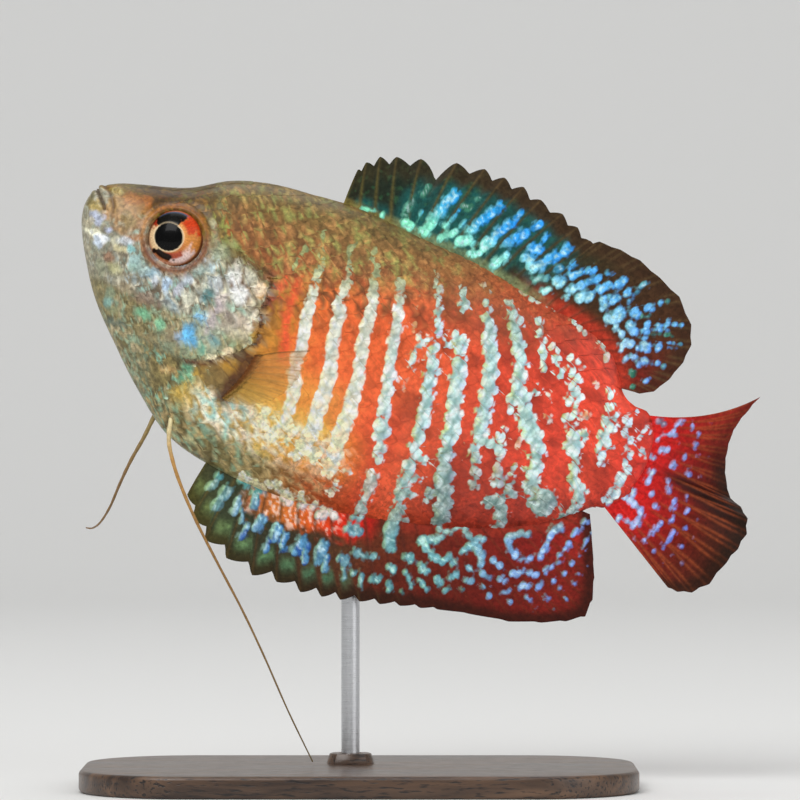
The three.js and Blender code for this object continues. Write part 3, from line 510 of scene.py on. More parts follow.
def flankPaint(along, up, height, luck, fine, phase):
    # colour of the bars, colour between them, millimetres inside a bar, by the tables above
    inside, strength, across = markAt(flankMarks + stalkMarks + bellyMarks, along, up)
    front = smooth(along, 40, 34)
    inside = inside + .17 * smooth(up, -2, -7) * smooth(along, 39, 35)
    inside = inside + .06 * smooth(along, 38, 43) + .06 * smooth(along, 57, 60)
    inside = inside - .1 * smooth(up, 2.5, 5) * smooth(along, 48, 52)
    stretch = mix(.85, .45, smooth(along, 20, 27))
    streak = grainAt(np.stack((along + .33 * up, 0 * up, stretch * up), -1), .4, 13)
    broad = grainAt(np.stack((along, 0 * up, up), -1), 1.6, 17)
    ground = shadesAlong(along, groundStops)
    ground = tint(ground, ground * .62, smooth(broad, .5, .8) * (1 - .7 * front))
    warm = markAt(warmBars, along, up)[0]
    behindCover = smooth(along, 26.4, 25.2) * smooth(up, -8, -3) * (1 - smooth(height, .6, .7))
    armpit = np.hypot((along - 20.4) / 2.3, (up + 9.7) / 1.5) + .5 * (fine - .5)
    ground = glaze(
        ground,
        ("c08a34", behindCover * .75),
        ("f8643a", smooth(warm, -.3, .2)))
    ground = bellyPaint(along, up, height, ground, streak, fine)
    arm = markAt(armBase, along, up)[0]
    edge = np.interp(along, [12, 19, 25, 34, 44, 58, 62], [.5, .6, .7, .8, .9, .97, 1.2])
    top = smooth(height, edge - .09, edge + .07)
    inside = inside - smooth(height, edge - .14, edge) * smooth(along, 50, 44) * (.5 * fine - .1)
    back = backPaint(along, height, streak, fine)
    broken = smooth(height, edge - .24, edge - .05) * smooth(streak, .62, .42)
    light = tint(shadesAlong(across, rearBar), shadesAlong(across, frontBar), front)
    light = tint(light, shade("ffd6a8"), smooth(up, -4, -12) * front * .8)
    light = tint(light, shade("a0bcb4"), smooth(height, .3, .12) * (1 - front) * .5)
    weak = tint(shade("e0885c"), shadesAlong(across, weakBar), front)
    light = tint(light, weak, smooth(strength, .95, .3))
    light = tint(light, shade("98a068"), top * (.25 + .5 * front))
    upper = smooth(up, 4, 7.5) * smooth(along, 52, 46)
    lower = smooth(up, -5, -8) * smooth(along, 43, 47)
    ground = glaze(
        ground,
        ("786440", smooth(armpit, 1.15, .6) * .8),
        ("54301c", smooth(arm + .4 * (fine - .5), -.45, .15) * .92),
        (back, np.maximum(top, broken)),
        ("8e4a2c", upper * (1 - top) * .55))
    light = tint(light * (1 - .2 * upper - .4 * lower)[..., None], shade("8a9460"), upper * .2)
    ground = ground * (1 - .4 * lower)[..., None]
    # painted highlights on the bars: each scale cell is lit brighter at its middle, and white glints are
    # laid over them
    glow = bell(phase, .45, .27)
    light = glaze(
        light,
        ("c4d8fa", smooth(along, 60, 63) * .5),
        ("f0fcfc", smooth(fine, .56, .82) * (1 - top) * .4))
    # paler low on the front flank: partly the belly's own silver, partly painted light
    pale = 1 + front * (.05 + .16 * smooth(up, -5, -10))
    light = light * (pale * (.86 + .22 * glow + .18 * luck + .3 * fine))[..., None]
    ground = ground * (.74 + .2 * luck + .42 * fine)[..., None]
    beady = mix(.35, .6, smooth(along, 33, 41))
    grainy = np.maximum(np.maximum(top, smooth(up, -9, -12) * front), .8 * smooth(height, .22, .12))
    return light, ground, inside, grainy, beady


coverScales = [
    (17.7, 1.2, .95, 1), (18.9, -.55, 1.15, 1), (20.7, .9, .9, .6), (16.3, -.2, .8, .6), (17.5, 2.6, .7, .6),
    (19.3, 1.9, .8, .6),
]


# Colours of the head. A patch is its place as along and up, its long and short radius, its turn in
# degrees, its colour and its strength. A scale of the gill cover is its place, radius and strength.
headPatches = [
    (17, -6.2, 2.6, 2, 0, "a4b8b0", .45), (14.6, -8.2, 2.6, 1.2, 10, "86907a", .4),
    (6.1, 5.4, 2.9, 1.5, 15, "5c4620", .85), (4.4, 2.8, 2.6, 2.2, 20, "b48858", .75),
    (4.6, 2, .8, .9, 0, "8c8058", .6), (5.9, 4.7, .7, .4, 150, "bc7c46", .7),
    (4.3, 4.4, 1.2, .7, 20, "9c6440", .6), (6.4, 2.6, .5, 1.3, 5, "c09a7c", .6),
    (6.2, .8, .9, .5, 30, "b87848", .6), (2.4, 4.5, .7, .4, 20, "a49a74", .7),
    (2.6, 3.2, .9, .8, 40, "9a7c4c", .7), (.8, 2.1, .8, .6, 0, "a08a4c", .8),
    (0, 2.6, .35, 1.1, 0, "6c6442", .7), (1.5, .9, .95, .65, 150, "aab0c2", .95),
    (.9, .1, .6, .7, 0, "a49c84", .8), (3.2, .2, .55, .4, 160, "bcc4e0", .9),
    (1.9, -.5, .9, .4, 0, "e2dfc4", .95), (3, -.8, .8, .55, 30, "e4e8ec", .95),
    (2.6, -1.5, .7, .45, 140, "b8c4d2", .9), (4.3, -.4, .5, .6, 0, "dcd8bc", .9),
    (5.3, -.1, .9, .4, 10, "ccd2d8", .85), (5.3, -1, .8, .35, 10, "d8cca0", .8),
    (6.4, -.6, .5, .4, 0, "a0dcdc", .95), (7.2, -1.5, .9, .6, 110, "a8c8c4", .9),
    (7.2, -2.4, .7, .4, 30, "94b4a8", .7), (4.2, -2.4, .8, .45, 150, "906248", .7),
    (5.4, -3.3, .9, .6, 0, "b0ae80", .7), (4, -3.8, .6, .9, 30, "9ca084", .7),
    (7.4, -4.7, .8, .6, 0, "a8987a", .7), (9.2, -1.9, .7, .5, 60, "98bccc", .85),
    (8.4, -2, .7, .6, 20, "a0b4ac", .7), (10, -2.8, .4, .6, 0, "c4ccd4", .9),
    (11.4, -2.8, .55, .75, 0, "b4cce4", .95), (12.7, -2.7, .5, .8, 0, "ccd0dc", .9),
    (13.3, -1.3, .7, .5, 60, "b8c4d0", .85), (14, -3, .8, .7, 0, "d4d4c0", .85),
    (12.6, -4.5, 1.1, .5, 0, "8c9ca0", .6), (14, .3, .9, .6, 20, "9cb0a8", .8),
    (15.3, 3, 1, .9, 0, "9ca890", .7), (16.2, 4.3, .7, .5, 0, "98a47c", .6),
    (13.3, 5.3, .3, .5, 20, "c8ccc0", .8), (14, 3.8, .4, .9, 10, "a0a08c", .6),
    (10, -4.9, 1.6, .8, 0, "846a5c", .65), (14.9, -1.9, .6, .5, 120, "6c6450", .7),
    (15.2, -.9, .5, .8, 0, "c4c4b4", .7), (17.7, 1.2, .75, .9, 0, "ccd0d8", .95),
    (18.9, -.5, .95, .95, 0, "ced2dc", .95), (18.8, 1.7, .6, .5, 0, "c4bca4", .8),
    (16.2, -.3, .8, .6, 90, "a8b4c4", .85), (17.6, -1.8, .7, .8, 0, "c8bcbc", .85),
    (20.8, 1, .55, .9, 0, "e4b070", .95), (20.3, -.6, .5, .5, 0, "dccdb8", .9),
    (15.9, -2, .5, .8, 0, "4c7c80", .9), (16, -4.3, .75, .5, 30, "8cc4ec", .95),
    (17.4, -4, .5, 1.9, 0, "b4a8b0", .9), (15.4, -6.2, .95, .8, 90, "5898c0", .9),
    (15.5, -7, 1, .85, 0, "6cbcf4", 1), (18.9, -3.6, 1, 1, 0, "9c8f88", .7),
    (20.4, -2.6, .9, .9, 0, "c0b0a4", .8), (21.3, -2.6, .4, 1.5, 0, "f0e4dc", .95),
    (20.6, -4.4, .9, .5, 40, "c8bca0", .8), (22.2, -3.9, .5, .8, 10, "e8cc60", .9),
    (22.6, -5.3, .35, .8, 15, "ece8b8", .95), (18.4, -6.1, .8, .5, 20, "5c8c98", .85),
    (17.6, -7.4, .8, .5, 100, "5c9484", .85), (20.2, -6.8, .7, .5, 60, "f0dcbc", .95),
    (19.2, -7.8, .7, .3, 30, "e8dcc0", .9), (10.2, -6.5, .9, .6, 0, "7cb890", .9),
    (12.3, -6.9, .65, .6, 0, "8cc8a0", .95), (6.3, -6.8, .5, .5, 0, "7ca8a0", .85),
    (5.9, -5.9, .5, .5, 0, "98ac90", .6), (7.9, -8.7, 1.3, .55, 0, "647468", .7),
    (7.2, -7.4, .7, .5, 0, "98a078", .6), (14.1, -7.3, 1, .8, 0, "a08c6c", .6),
    (12, -8.7, 1.2, .5, 0, "94845c", .6), (17.3, -9.7, 1.1, .4, 25, "6cb090", .9),
    (17.3, -11, .9, .6, 40, "74b898", .85), (14.9, -11.1, 1.1, .4, 20, "c8a46c", .75),
    (20.6, -9.4, .5, .8, 0, "6c7c48", .7), (18.6, -12.8, .8, .35, 20, "98ccb4", .8),
    (19.3, -14, .8, .35, 20, "84c49c", .8), (21.4, -13.7, .7, .5, 30, "a0dcd0", .85),
    (22.4, -12.8, .8, .6, 20, "a8c4cc", .8), (22.6, -14.7, .8, .4, 20, "90bca0", .7),
    (23.6, -12.6, .8, 1, 0, "d8dccc", .75), (20.3, -12.3, .8, .4, 20, "bcc8c0", .7),
    (24.6, -16.4, 1.2, .6, 20, "7c9468", .5),
]
# A zone is its ground colour and the colours of its flecks.
headZones = dict(
    nape=("76602e", ["a05c2c", "86904c", "66562e", "a88a50"]),
    cheek=("8c8672", ["b8ccd2", "d8d2bc", "65523f", "9cbcb0"]),
    jaw=("857a52", ["aa9a6c", "5c5434", "8ea48a", "b4a684"]),
    chest=("74673e", ["b89e66", "88bca4", "4c4226", "9c8c58"]),
)


def headPaint(along, up, height, luck, grain, fine):
    # ground colour by zone, flecks where the grain is in a fleck's range, then the named patches
    snout = smooth(along, 7.5, 4.5)
    nape = smooth(height, .6, .72)
    low = smooth(up, -4.2, -5.6) * (1 - nape)
    chest = smooth(along + .4 * up, 6.5, 9.5) * smooth(up, -8.2, -9.8)
    masks = dict(nape=nape, cheek=(1 - nape) * (1 - low), jaw=low * (1 - chest), chest=chest)
    colour = np.zeros(np.shape(along) + (3,))
    for zone, mask in masks.items():
        base, flecks = headZones[zone]
        tone = np.broadcast_to(shade(base), colour.shape)
        for k, code in enumerate(flecks):
            chosen = smooth(np.abs(grain - .17 - .22 * k), .13, .05)
            tone = tint(tone, shade(code), chosen * (.45 + .5 * fine) * (1 - .8 * snout))
        colour = colour + tone * (mask / sum(masks.values()))[..., None]
    colour = tint(colour, shade("6c6840"), smooth(height, .86, .97) * .7)
    wobble = .75 * (grain - .5) + .45 * (fine - .5)
    for patchAlong, patchUp, longRadius, shortRadius, turn, code, strength in headPatches:
        angle = math.radians(turn)
        dx, dz = along - patchAlong, up - patchUp
        first = (dx * math.cos(angle) + dz * math.sin(angle)) / longRadius
        second = (dz * math.cos(angle) - dx * math.sin(angle)) / shortRadius
        colour = tint(colour, shade(code), smooth(np.hypot(first, second) + wobble, 1.35, .6) * strength)
    for scaleAlong, scaleUp, radius, power in coverScales:
        away = np.hypot(along - scaleAlong, .9 * (up - scaleUp))
        rim = bell(away, radius + .05, .14) * smooth(scaleAlong - along, radius, 0)
        colour = glaze(
            colour,
            ("e6e6e8", smooth(away, radius, radius - .4) * .75 * power),
            ("6a4c34", rim * .95 * power))
    cover, side, share = nearLine(headLines["cover"], along, up)
    behind = np.where(side > 0, 1, 0) * smooth(share, .1, .25)
    distance = np.hypot(along - eye["along"], up - eye["up"])
    below = smooth((up - eye["up"]) - .5 * (along - eye["along"]), 1.5, -1.5)
    mouth, side, share = nearLine(headLines["mouth"], along, up)
    ends = smooth(share, 1, .85) * smooth(share, .1, .3)
    lip, side, share = nearLine(headLines["lip"], along, up)
    colour = glaze(
        colour,
        # a painted shadow line just behind the gill cover's rear edge
        ("5a3c24", bell(cover, .22, .34) * behind * .95),
        ("b07c48", bell(distance, 3.55, .32) * .85),
        ("70402c", bell(distance, 3.42, .34) * below * .9),
        ("40281a", bell(mouth, 0, .24) * .7 * ends),
        ("4c3220", bell(lip, 0, .22) * .7 * smooth(share, 1, .6)))
    # the top of the head is darker and browner: partly its own olive brown, partly painted shade
    crown = smooth(along, 15, 11) * smooth(height, .55, .75) * smooth(along, 4, 6.5)
    colour = tint(colour, colour * shade("b89c70") * 1.5, crown * .9)
    topToneAndShade = 1 - .28 * smooth(height, .72, .96)
    silver = bell(along, 18, 3.4) * smooth(up, -10.5, -8) * smooth(up, 3, 1)
    paler = 1 + .24 * silver + .34 * smooth(along, 4, 1.5)
    onCrown = np.maximum(nape, crown)
    lessBlue = .22 * onCrown + .16 * crown + .08 * smooth(along, 14, 17)
    warmer = np.stack((1 + 0 * nape, 1 - .03 * onCrown, 1 - lessBlue), -1)
    return colour * warmer * ((.84 + .08 * luck + .4 * fine) * topToneAndShade * paler)[..., None]


shoulder = np.array([(15, -15.5), (17, -11.8), (18.8, -8.6), (20.6, -7.2), (22.5, -4.8), (21.9, -1.2),
                     (21.6, 1.8), (19.4, 3.2), (15.6, 5.2), (13.4, 8), (11, 11), (9, 14)])


def behindShoulder(along, up):
    # millimetres behind the line where the flank's large scales begin
    return along - np.interp(up, shoulder[:, 1], shoulder[:, 0])


def bodyPaint(places, height, luck, reach, phase, seed=0):
    # for any place on the body: its mark colour, its ground colour, millimetres inside a mark, how
    # grainy and how beaded it is. On the head the mark is the outer part of each scale. The gill
    # cover's rear edge has a brown shadow line, with orange stripes behind it.
    along, up = places[..., 0], places[..., 2]
    grain = np.clip(1.5 * grainAt(places + seed, .75, 5) - .25, 0, 1)
    fine = np.clip(1.6 * grainAt(places + seed, .33, 9) - .3, 0, 1)
    light, ground, inside, grainy, beady = flankPaint(along, up, height, luck, fine, phase)
    head = headPaint(along, up, height, luck, grain, fine)
    behind = smooth(behindShoulder(along, up) + 1.6 * (grain - .5), -.8, 1.2)
    inside = mix((reach - .45) * 2, inside, np.where(behind > .5, 1, 0))
    light, ground = tint(head, light, behind), tint(head * .86, ground, behind)
    cover, edgeSide, share = nearLine(headLines["cover"], along, up)
    gapShadow = bell(cover * edgeSide, .3, .3) * smooth(share, .12, .28) * .9
    stripe = smooth(markAt(warmBars, along, up)[0], -.25, .2) * smooth(up, 4.2, 3) * .85
    light = glaze(light, ("f46438", stripe), ("5a3020", gapShadow))
    ground = glaze(ground, ("f46438", stripe), ("5a3020", gapShadow))
    return light, ground, inside, np.maximum(grainy, 1 - behind), mix(.1, beady, behind)


print("shapes and colours ready")


# Shader helpers and groups

def makeGroup(name, inputs, outputs):
    # an empty node group with named number or colour sockets
    group = bpy.data.node_groups.new(name, "ShaderNodeTree")
    for label, kind, value in inputs:
        socket = group.interface.new_socket(label, in_out="INPUT", socket_type=kind)
        socket.default_value = value
    for label, kind in outputs:
        group.interface.new_socket(label, in_out="OUTPUT", socket_type=kind)
    ends = group.nodes.new("NodeGroupInput"), group.nodes.new("NodeGroupOutput")
    return group, ends[0], ends[1]


def addNode(tree, kind, links=None, **settings):
    # one node, with its properties set and its inputs linked or given values
    node = tree.nodes.new(kind)
    for key, value in settings.items():
        setattr(node, key, value)
    for key, value in (links or {}).items():
        if isinstance(value, bpy.types.NodeSocket):
            tree.links.new(value, node.inputs[key])
        else:
            node.inputs[key].default_value = value
    return node


def mathNode(tree, operation, first, second=0, third=0):
    # one sum on numbers
    return addNode(tree, "ShaderNodeMath", {0: first, 1: second, 2: third}, operation=operation).outputs[0]


def mixColour(tree, share, first, second, blend="MIX"):
    # two colours blended by a share
    inputs = {0: share, 6: first, 7: second}
    return addNode(tree, "ShaderNodeMix", inputs, data_type="RGBA", blend_type=blend).outputs[2]


def noiseAt(tree, vector, scale, detail, distortion=0):
    # a soft noise over a place
    settings = {"Vector": vector, "Scale": scale, "Detail": detail, "Distortion": distortion}
    return addNode(tree, "ShaderNodeTexNoise", settings).outputs["Fac"]


def ranged(tree, value, low, high, top=1, kind="LINEAR"):
    # 0 where the value is low, rising to top where it is high
    settings = {"Value": value, "From Min": low, "From Max": high, "To Max": top}
    return addNode(tree, "ShaderNodeMapRange", settings, interpolation_type=kind).outputs[0]


def objectPlace(tree, scale=None):
    # the place on the object, stretched by the scale where one is given
    place = addNode(tree, "ShaderNodeTexCoord").outputs["Object"]
    if scale:
        place = addNode(tree, "ShaderNodeMapping", {"Vector": place, "Scale": scale}).outputs[0]
    return place


def speckleGroup():
    # fine skin grain: the colour goes lighter and darker in specks and in tiny cells, and the same
    # specks are the height
    group, start, end = makeGroup(
        "fineSpeckle",
        [("Colour", "NodeSocketColor", (.5, .5, .5, 1)), ("Speck Size", "NodeSocketFloat", 4000),
         ("Contrast", "NodeSocketFloat", .3), ("Smoothness", "NodeSocketFloat", .35)],
        [("Colour", "NodeSocketColor"), ("Roughness", "NodeSocketFloat"), ("Height", "NodeSocketFloat")])
    place = objectPlace(group)
    specks = noiseAt(group, place, start.outputs["Speck Size"], 3)
    cells = addNode(group, "ShaderNodeTexVoronoi", {"Vector": place, "Scale": start.outputs["Speck Size"]})
    level = mathNode(group, "SUBTRACT", specks, .5)
    cell = addNode(group, "ShaderNodeSeparateColor", {"Color": cells.outputs["Color"]}).outputs["Red"]
    cell = mathNode(group, "SUBTRACT", cell, .5)
    both = mathNode(group, "MULTIPLY_ADD", cell, .45, level)
    change = mathNode(group, "MULTIPLY", both, start.outputs["Contrast"])
    change = mathNode(group, "MULTIPLY_ADD", change, 2, 1)
    scaled = addNode(group, "ShaderNodeVectorMath", {0: start.outputs["Colour"]}, operation="SCALE")
    group.links.new(change, scaled.inputs["Scale"])
    group.links.new(scaled.outputs[0], end.inputs["Colour"])
    rough = mathNode(group, "MULTIPLY_ADD", level, .25, start.outputs["Smoothness"])
    group.links.new(rough, end.inputs["Roughness"])
    height = mathNode(group, "MULTIPLY_ADD", cells.outputs["Distance"], -.6, specks)
    group.links.new(height, end.inputs["Height"])
    return group


def markGroup():
    # a marking with a ragged outline and a beaded face: the mark's colour where the distance inside
    # it, plus a noise, is above 0, and the ground colour elsewhere. The beads are the cells of a
    # slanted lattice; a mark is grey green between them and its outline swells at each cell's middle.
    group, start, end = makeGroup(
        "raggedMark",
        [("Mark", "NodeSocketColor", (.8, .8, .8, 1)), ("Ground", "NodeSocketColor", (.2, .2, .2, 1)),
         ("Inside", "NodeSocketFloat", 0), ("Raggedness", "NodeSocketFloat", .25),
         ("Softness", "NodeSocketFloat", .12), ("Beads", "NodeSocketFloat", .5)],
        [("Colour", "NodeSocketColor")])
    place = objectPlace(group)
    slanted = addNode(group, "ShaderNodeVectorRotate", {"Vector": place, "Angle": -.55},
                      rotation_type="Y_AXIS")
    apart = addNode(group, "ShaderNodeSeparateXYZ", {"Vector": slanted.outputs[0]})
    cellX = mathNode(group, "MULTIPLY", apart.outputs["X"], 1180)
    cellY = mathNode(group, "MULTIPLY", apart.outputs["Z"], 680)
    flat = addNode(group, "ShaderNodeCombineXYZ", {"X": cellX, "Y": cellY})
    settings = {"Vector": flat.outputs[0], "Scale": 1, "Randomness": .55}
    cells = addNode(group, "ShaderNodeTexVoronoi", settings, voronoi_dimensions="2D")
    bead = ranged(group, cells.outputs["Distance"], .6, .24, kind="SMOOTHSTEP")
    level = mathNode(group, "SUBTRACT", noiseAt(group, place, 2300, 2), .5)
    line = mathNode(group, "MULTIPLY_ADD", level, start.outputs["Raggedness"], start.outputs["Inside"])
    swell = mathNode(group, "MULTIPLY", mathNode(group, "SUBTRACT", bead, .68), start.outputs["Beads"])
    line = mathNode(group, "MULTIPLY_ADD", swell, .55, line)
    low = mathNode(group, "MULTIPLY", start.outputs["Softness"], -1)
    mask = ranged(group, line, low, start.outputs["Softness"], kind="SMOOTHSTEP")
    gap = mathNode(group, "MULTIPLY", mathNode(group, "SUBTRACT", 1, bead), start.outputs["Beads"])
    beaded = mixColour(group, gap, start.outputs["Mark"], (.24, .4, .4, 1), "MULTIPLY")
    colour = mixColour(group, mask, start.outputs["Ground"], beaded)
    group.links.new(colour, end.inputs["Colour"])
    return group


speckle = speckleGroup()
raggedMark = markGroup()


def kept(tree, name, output="Fac"):
    # a value kept on the mesh, or a colour where the output is Color
    return addNode(tree, "ShaderNodeAttribute", attribute_name=name).outputs[output]


def newMaterial(name):
    # a material with its shader, emptied of links
    material = bpy.data.materials.new(name)
    material.use_nodes = True
    return material, material.node_tree, material.node_tree.nodes["Principled BSDF"]


def speckled(tree, colour, size, contrast, smoothness):
    # the speckle group placed in a material with its own values
    settings = {"Colour": colour, "Speck Size": size, "Contrast": contrast, "Smoothness": smoothness}
    return addNode(tree, "ShaderNodeGroup", settings, node_tree=speckle)


def paintedMark(tree, raggedness, softness, beads):
    # the ragged mark group fed with the mesh's own colours and distance
    node = addNode(tree, "ShaderNodeGroup", {"Raggedness": raggedness, "Softness": softness, "Beads": beads},
                   node_tree=raggedMark)
    tree.links.new(kept(tree, "markColour", "Color"), node.inputs["Mark"])
    tree.links.new(kept(tree, "groundColour", "Color"), node.inputs["Ground"])
    tree.links.new(kept(tree, "inside"), node.inputs["Inside"])
    return node.outputs["Colour"]


def dress(tree, shader, colour, roughness, height, bumpDistance, bumpStrength):
    # a colour, a roughness and a bumped height into the shader
    tree.links.new(colour, shader.inputs["Base Color"])
    tree.links.new(roughness, shader.inputs["Roughness"])
    settings = {"Height": height, "Distance": bumpDistance, "Strength": bumpStrength}
    bump = addNode(tree, "ShaderNodeBump", settings)
    tree.links.new(bump.outputs["Normal"], shader.inputs["Normal"])


def finishShader(tree, shader, node, bumpDistance, bumpStrength=.6):
    # the speckle group's colour, roughness and height into the shader
    dress(tree, shader, *(node.outputs[label] for label in ("Colour", "Roughness", "Height")),
          bumpDistance, bumpStrength)


def wetCoat(shader, weight, roughness, gloss=.3):
    # a clear wet film over the colour
    shader.inputs["Specular IOR Level"].default_value = gloss
    shader.inputs["Coat Weight"].default_value = weight
    shader.inputs["Coat Roughness"].default_value = roughness


def skinMaterial():
    # moist skin: the markings with fine specks under a clear wet film
    material, tree, shader = newMaterial("moistSkin")
    contrast = mathNode(tree, "MULTIPLY_ADD", kept(tree, "grainy"), .25, .25)
    colour = paintedMark(tree, .18, .13, kept(tree, "beady"))
    finishShader(tree, shader, speckled(tree, colour, 2800, contrast, .42), .00003)
    wetCoat(shader, .12, .22)
    return material


def scaleMaterial():
    # a scale: the ragged markings with fine specks, a darker rim, and a gleam on the silver parts
    material, tree, shader = newMaterial("glossyScales")
    grainy = kept(tree, "grainy")
    colour = paintedMark(tree, .18, .13, kept(tree, "beady"))
    rim = ranged(tree, kept(tree, "reach"), .9, 1, .24)
    rimShare = mathNode(tree, "MULTIPLY", rim, mathNode(tree, "MULTIPLY_ADD", grainy, -.75, 1))
    rimShade = mixColour(tree, 1, colour, (.5, .42, .36, 1), "MULTIPLY")
    colour = mixColour(tree, rimShare, colour, rimShade)
    contrast = mathNode(tree, "MULTIPLY_ADD", grainy, .3, .22)
    finishShader(tree, shader, speckled(tree, colour, 2800, contrast, .4), .00002, .4)
    tree.links.new(mathNode(tree, "MULTIPLY", kept(tree, "gleam"), .25), shader.inputs["Metallic"])
    wetCoat(shader, .12, .2)
    return material


def finMaterial(name, clear=False):
    # fin skin: the markings with fine specks, and for the clear fins an alpha that follows the rays
    material, tree, shader = newMaterial(name)
    if clear:
        own = kept(tree, "markColour", "Color")
        tree.links.new(kept(tree, "cover"), shader.inputs["Alpha"])
    else:
        own = paintedMark(tree, .36, .2, .5)
    finishShader(tree, shader, speckled(tree, own, 3200, .35, .45), .00003)
    wetCoat(shader, .04, .3, .12)
    return material


def plainMaterial(name, speckSize):
    # one colour attribute with fine specks
    material, tree, shader = newMaterial(name)
    own = speckled(tree, kept(tree, "markColour", "Color"), speckSize, .3, .4)
    finishShader(tree, shader, own, .00002, .4)
    wetCoat(shader, .2, .2)
    return material


def eyeMaterial():
    # the wet eye: its painted iris under a hard clear film
    material, tree, shader = newMaterial("wetEye")
    own = speckled(tree, kept(tree, "markColour", "Color"), 7000, .22, .3)
    finishShader(tree, shader, own, .00001, .2)
    wetCoat(shader, .14, .03, .08)
    return material


skinLook = skinMaterial()
scaleLook = scaleMaterial()
finLook = finMaterial("finSkin")
clearFinLook = finMaterial("clearFinSkin", clear=True)
feelerLook = plainMaterial("feelerSkin", 3600)
eyeLook = eyeMaterial()


# The skin: one closed surface over the flesh, with the rows close together on the head
skin = dict(firstShare=.004, headRows=150, flankRows=110, around=300, headEnd=.45)


def makeSkin():
    # a ring of points at each share of the axis, drawn in by the coat's depth behind the snout and
    # raised by the head's relief
    shares = np.concatenate((
        np.linspace(skin["firstShare"], skin["headEnd"], skin["headRows"], endpoint=False),
        np.linspace(skin["headEnd"], 1, skin["flankRows"])))
    angles = circle(skin["around"])
    share, angle = np.meshgrid(shares, angles, indexing="ij")
    plain = bodyAt(share, angle)
    inset = coatDepth * smooth(plain[..., 0], 5, 9)
    relief = reliefAt(plain[..., 0], plain[..., 2]) * smooth(share, 0, .03)
    places = bodyAt(share, angle, -inset) + bodyNormal(share, angle) * relief[..., None]
    poles = np.stack((places[0].mean(0), places[-1].mean(0) + np.array([.25, 0, 0])))
    phase = (.25 - .5 * plain[..., 2]) % 1
    marks, grounds, inside, grainy, beady = bodyPaint(
        plain, bodyHeight(share, angle), grainAt(plain, .9, 3), np.full(share.shape, .6), phase)
    makeTube("body_skin", toFrame(places), toFrame(poles), skinLook, "head_skin",
             ["head", "jaw_upper", "jaw_lower", "gill_cover_left", "gill_cover_right", "trunk",
              "tail_stalk"],
             colours=dict(markColour=marks, groundColour=grounds),
             values=dict(inside=inside, grainy=grainy, beady=beady))
    print("skin", share.size, "points")


makeSkin()


# The scales, laid in rows from head to tail. Rows keep an even distance round the body, and the
# scales of one row lie opposite the gaps of the next.
coat = dict(
    reach=[0, .42, .62, .77, .89, 1], columns=5, lift=.13, thickness=.035, crown=.035, tooth=.42, patch=.003,
    ribs=620, halfSteps=120, deepestHalf=24, fewestRibs=8, jitter=.12, steepest=.6,
)
lattices = dict(
    flank=dict(rowGap=1, rearRowGap=.8, columnGap=1.11, length=3.7, sweep=1.25, halfWidth=1.08),
    head=dict(rowGap=.52, rearRowGap=.52, columnGap=.56, length=1.9, sweep=.6, halfWidth=.58),
    cover=dict(rowGap=.95, rearRowGap=.95, columnGap=1, length=3, sweep=1.3, halfWidth=1.05),
)
leanMarks = [20, 36, 44, 52, 57, 61, 66]
leans = [.18, .21, .32, .5, .52, .32, .2]


def columnOf(along, up):
    # the column a place is in: column = along + lean(column) up, found by repeating that four times
    column = along
    for _ in range(4):
        column = along + np.interp(column, leanMarks, leans) * up
    return column


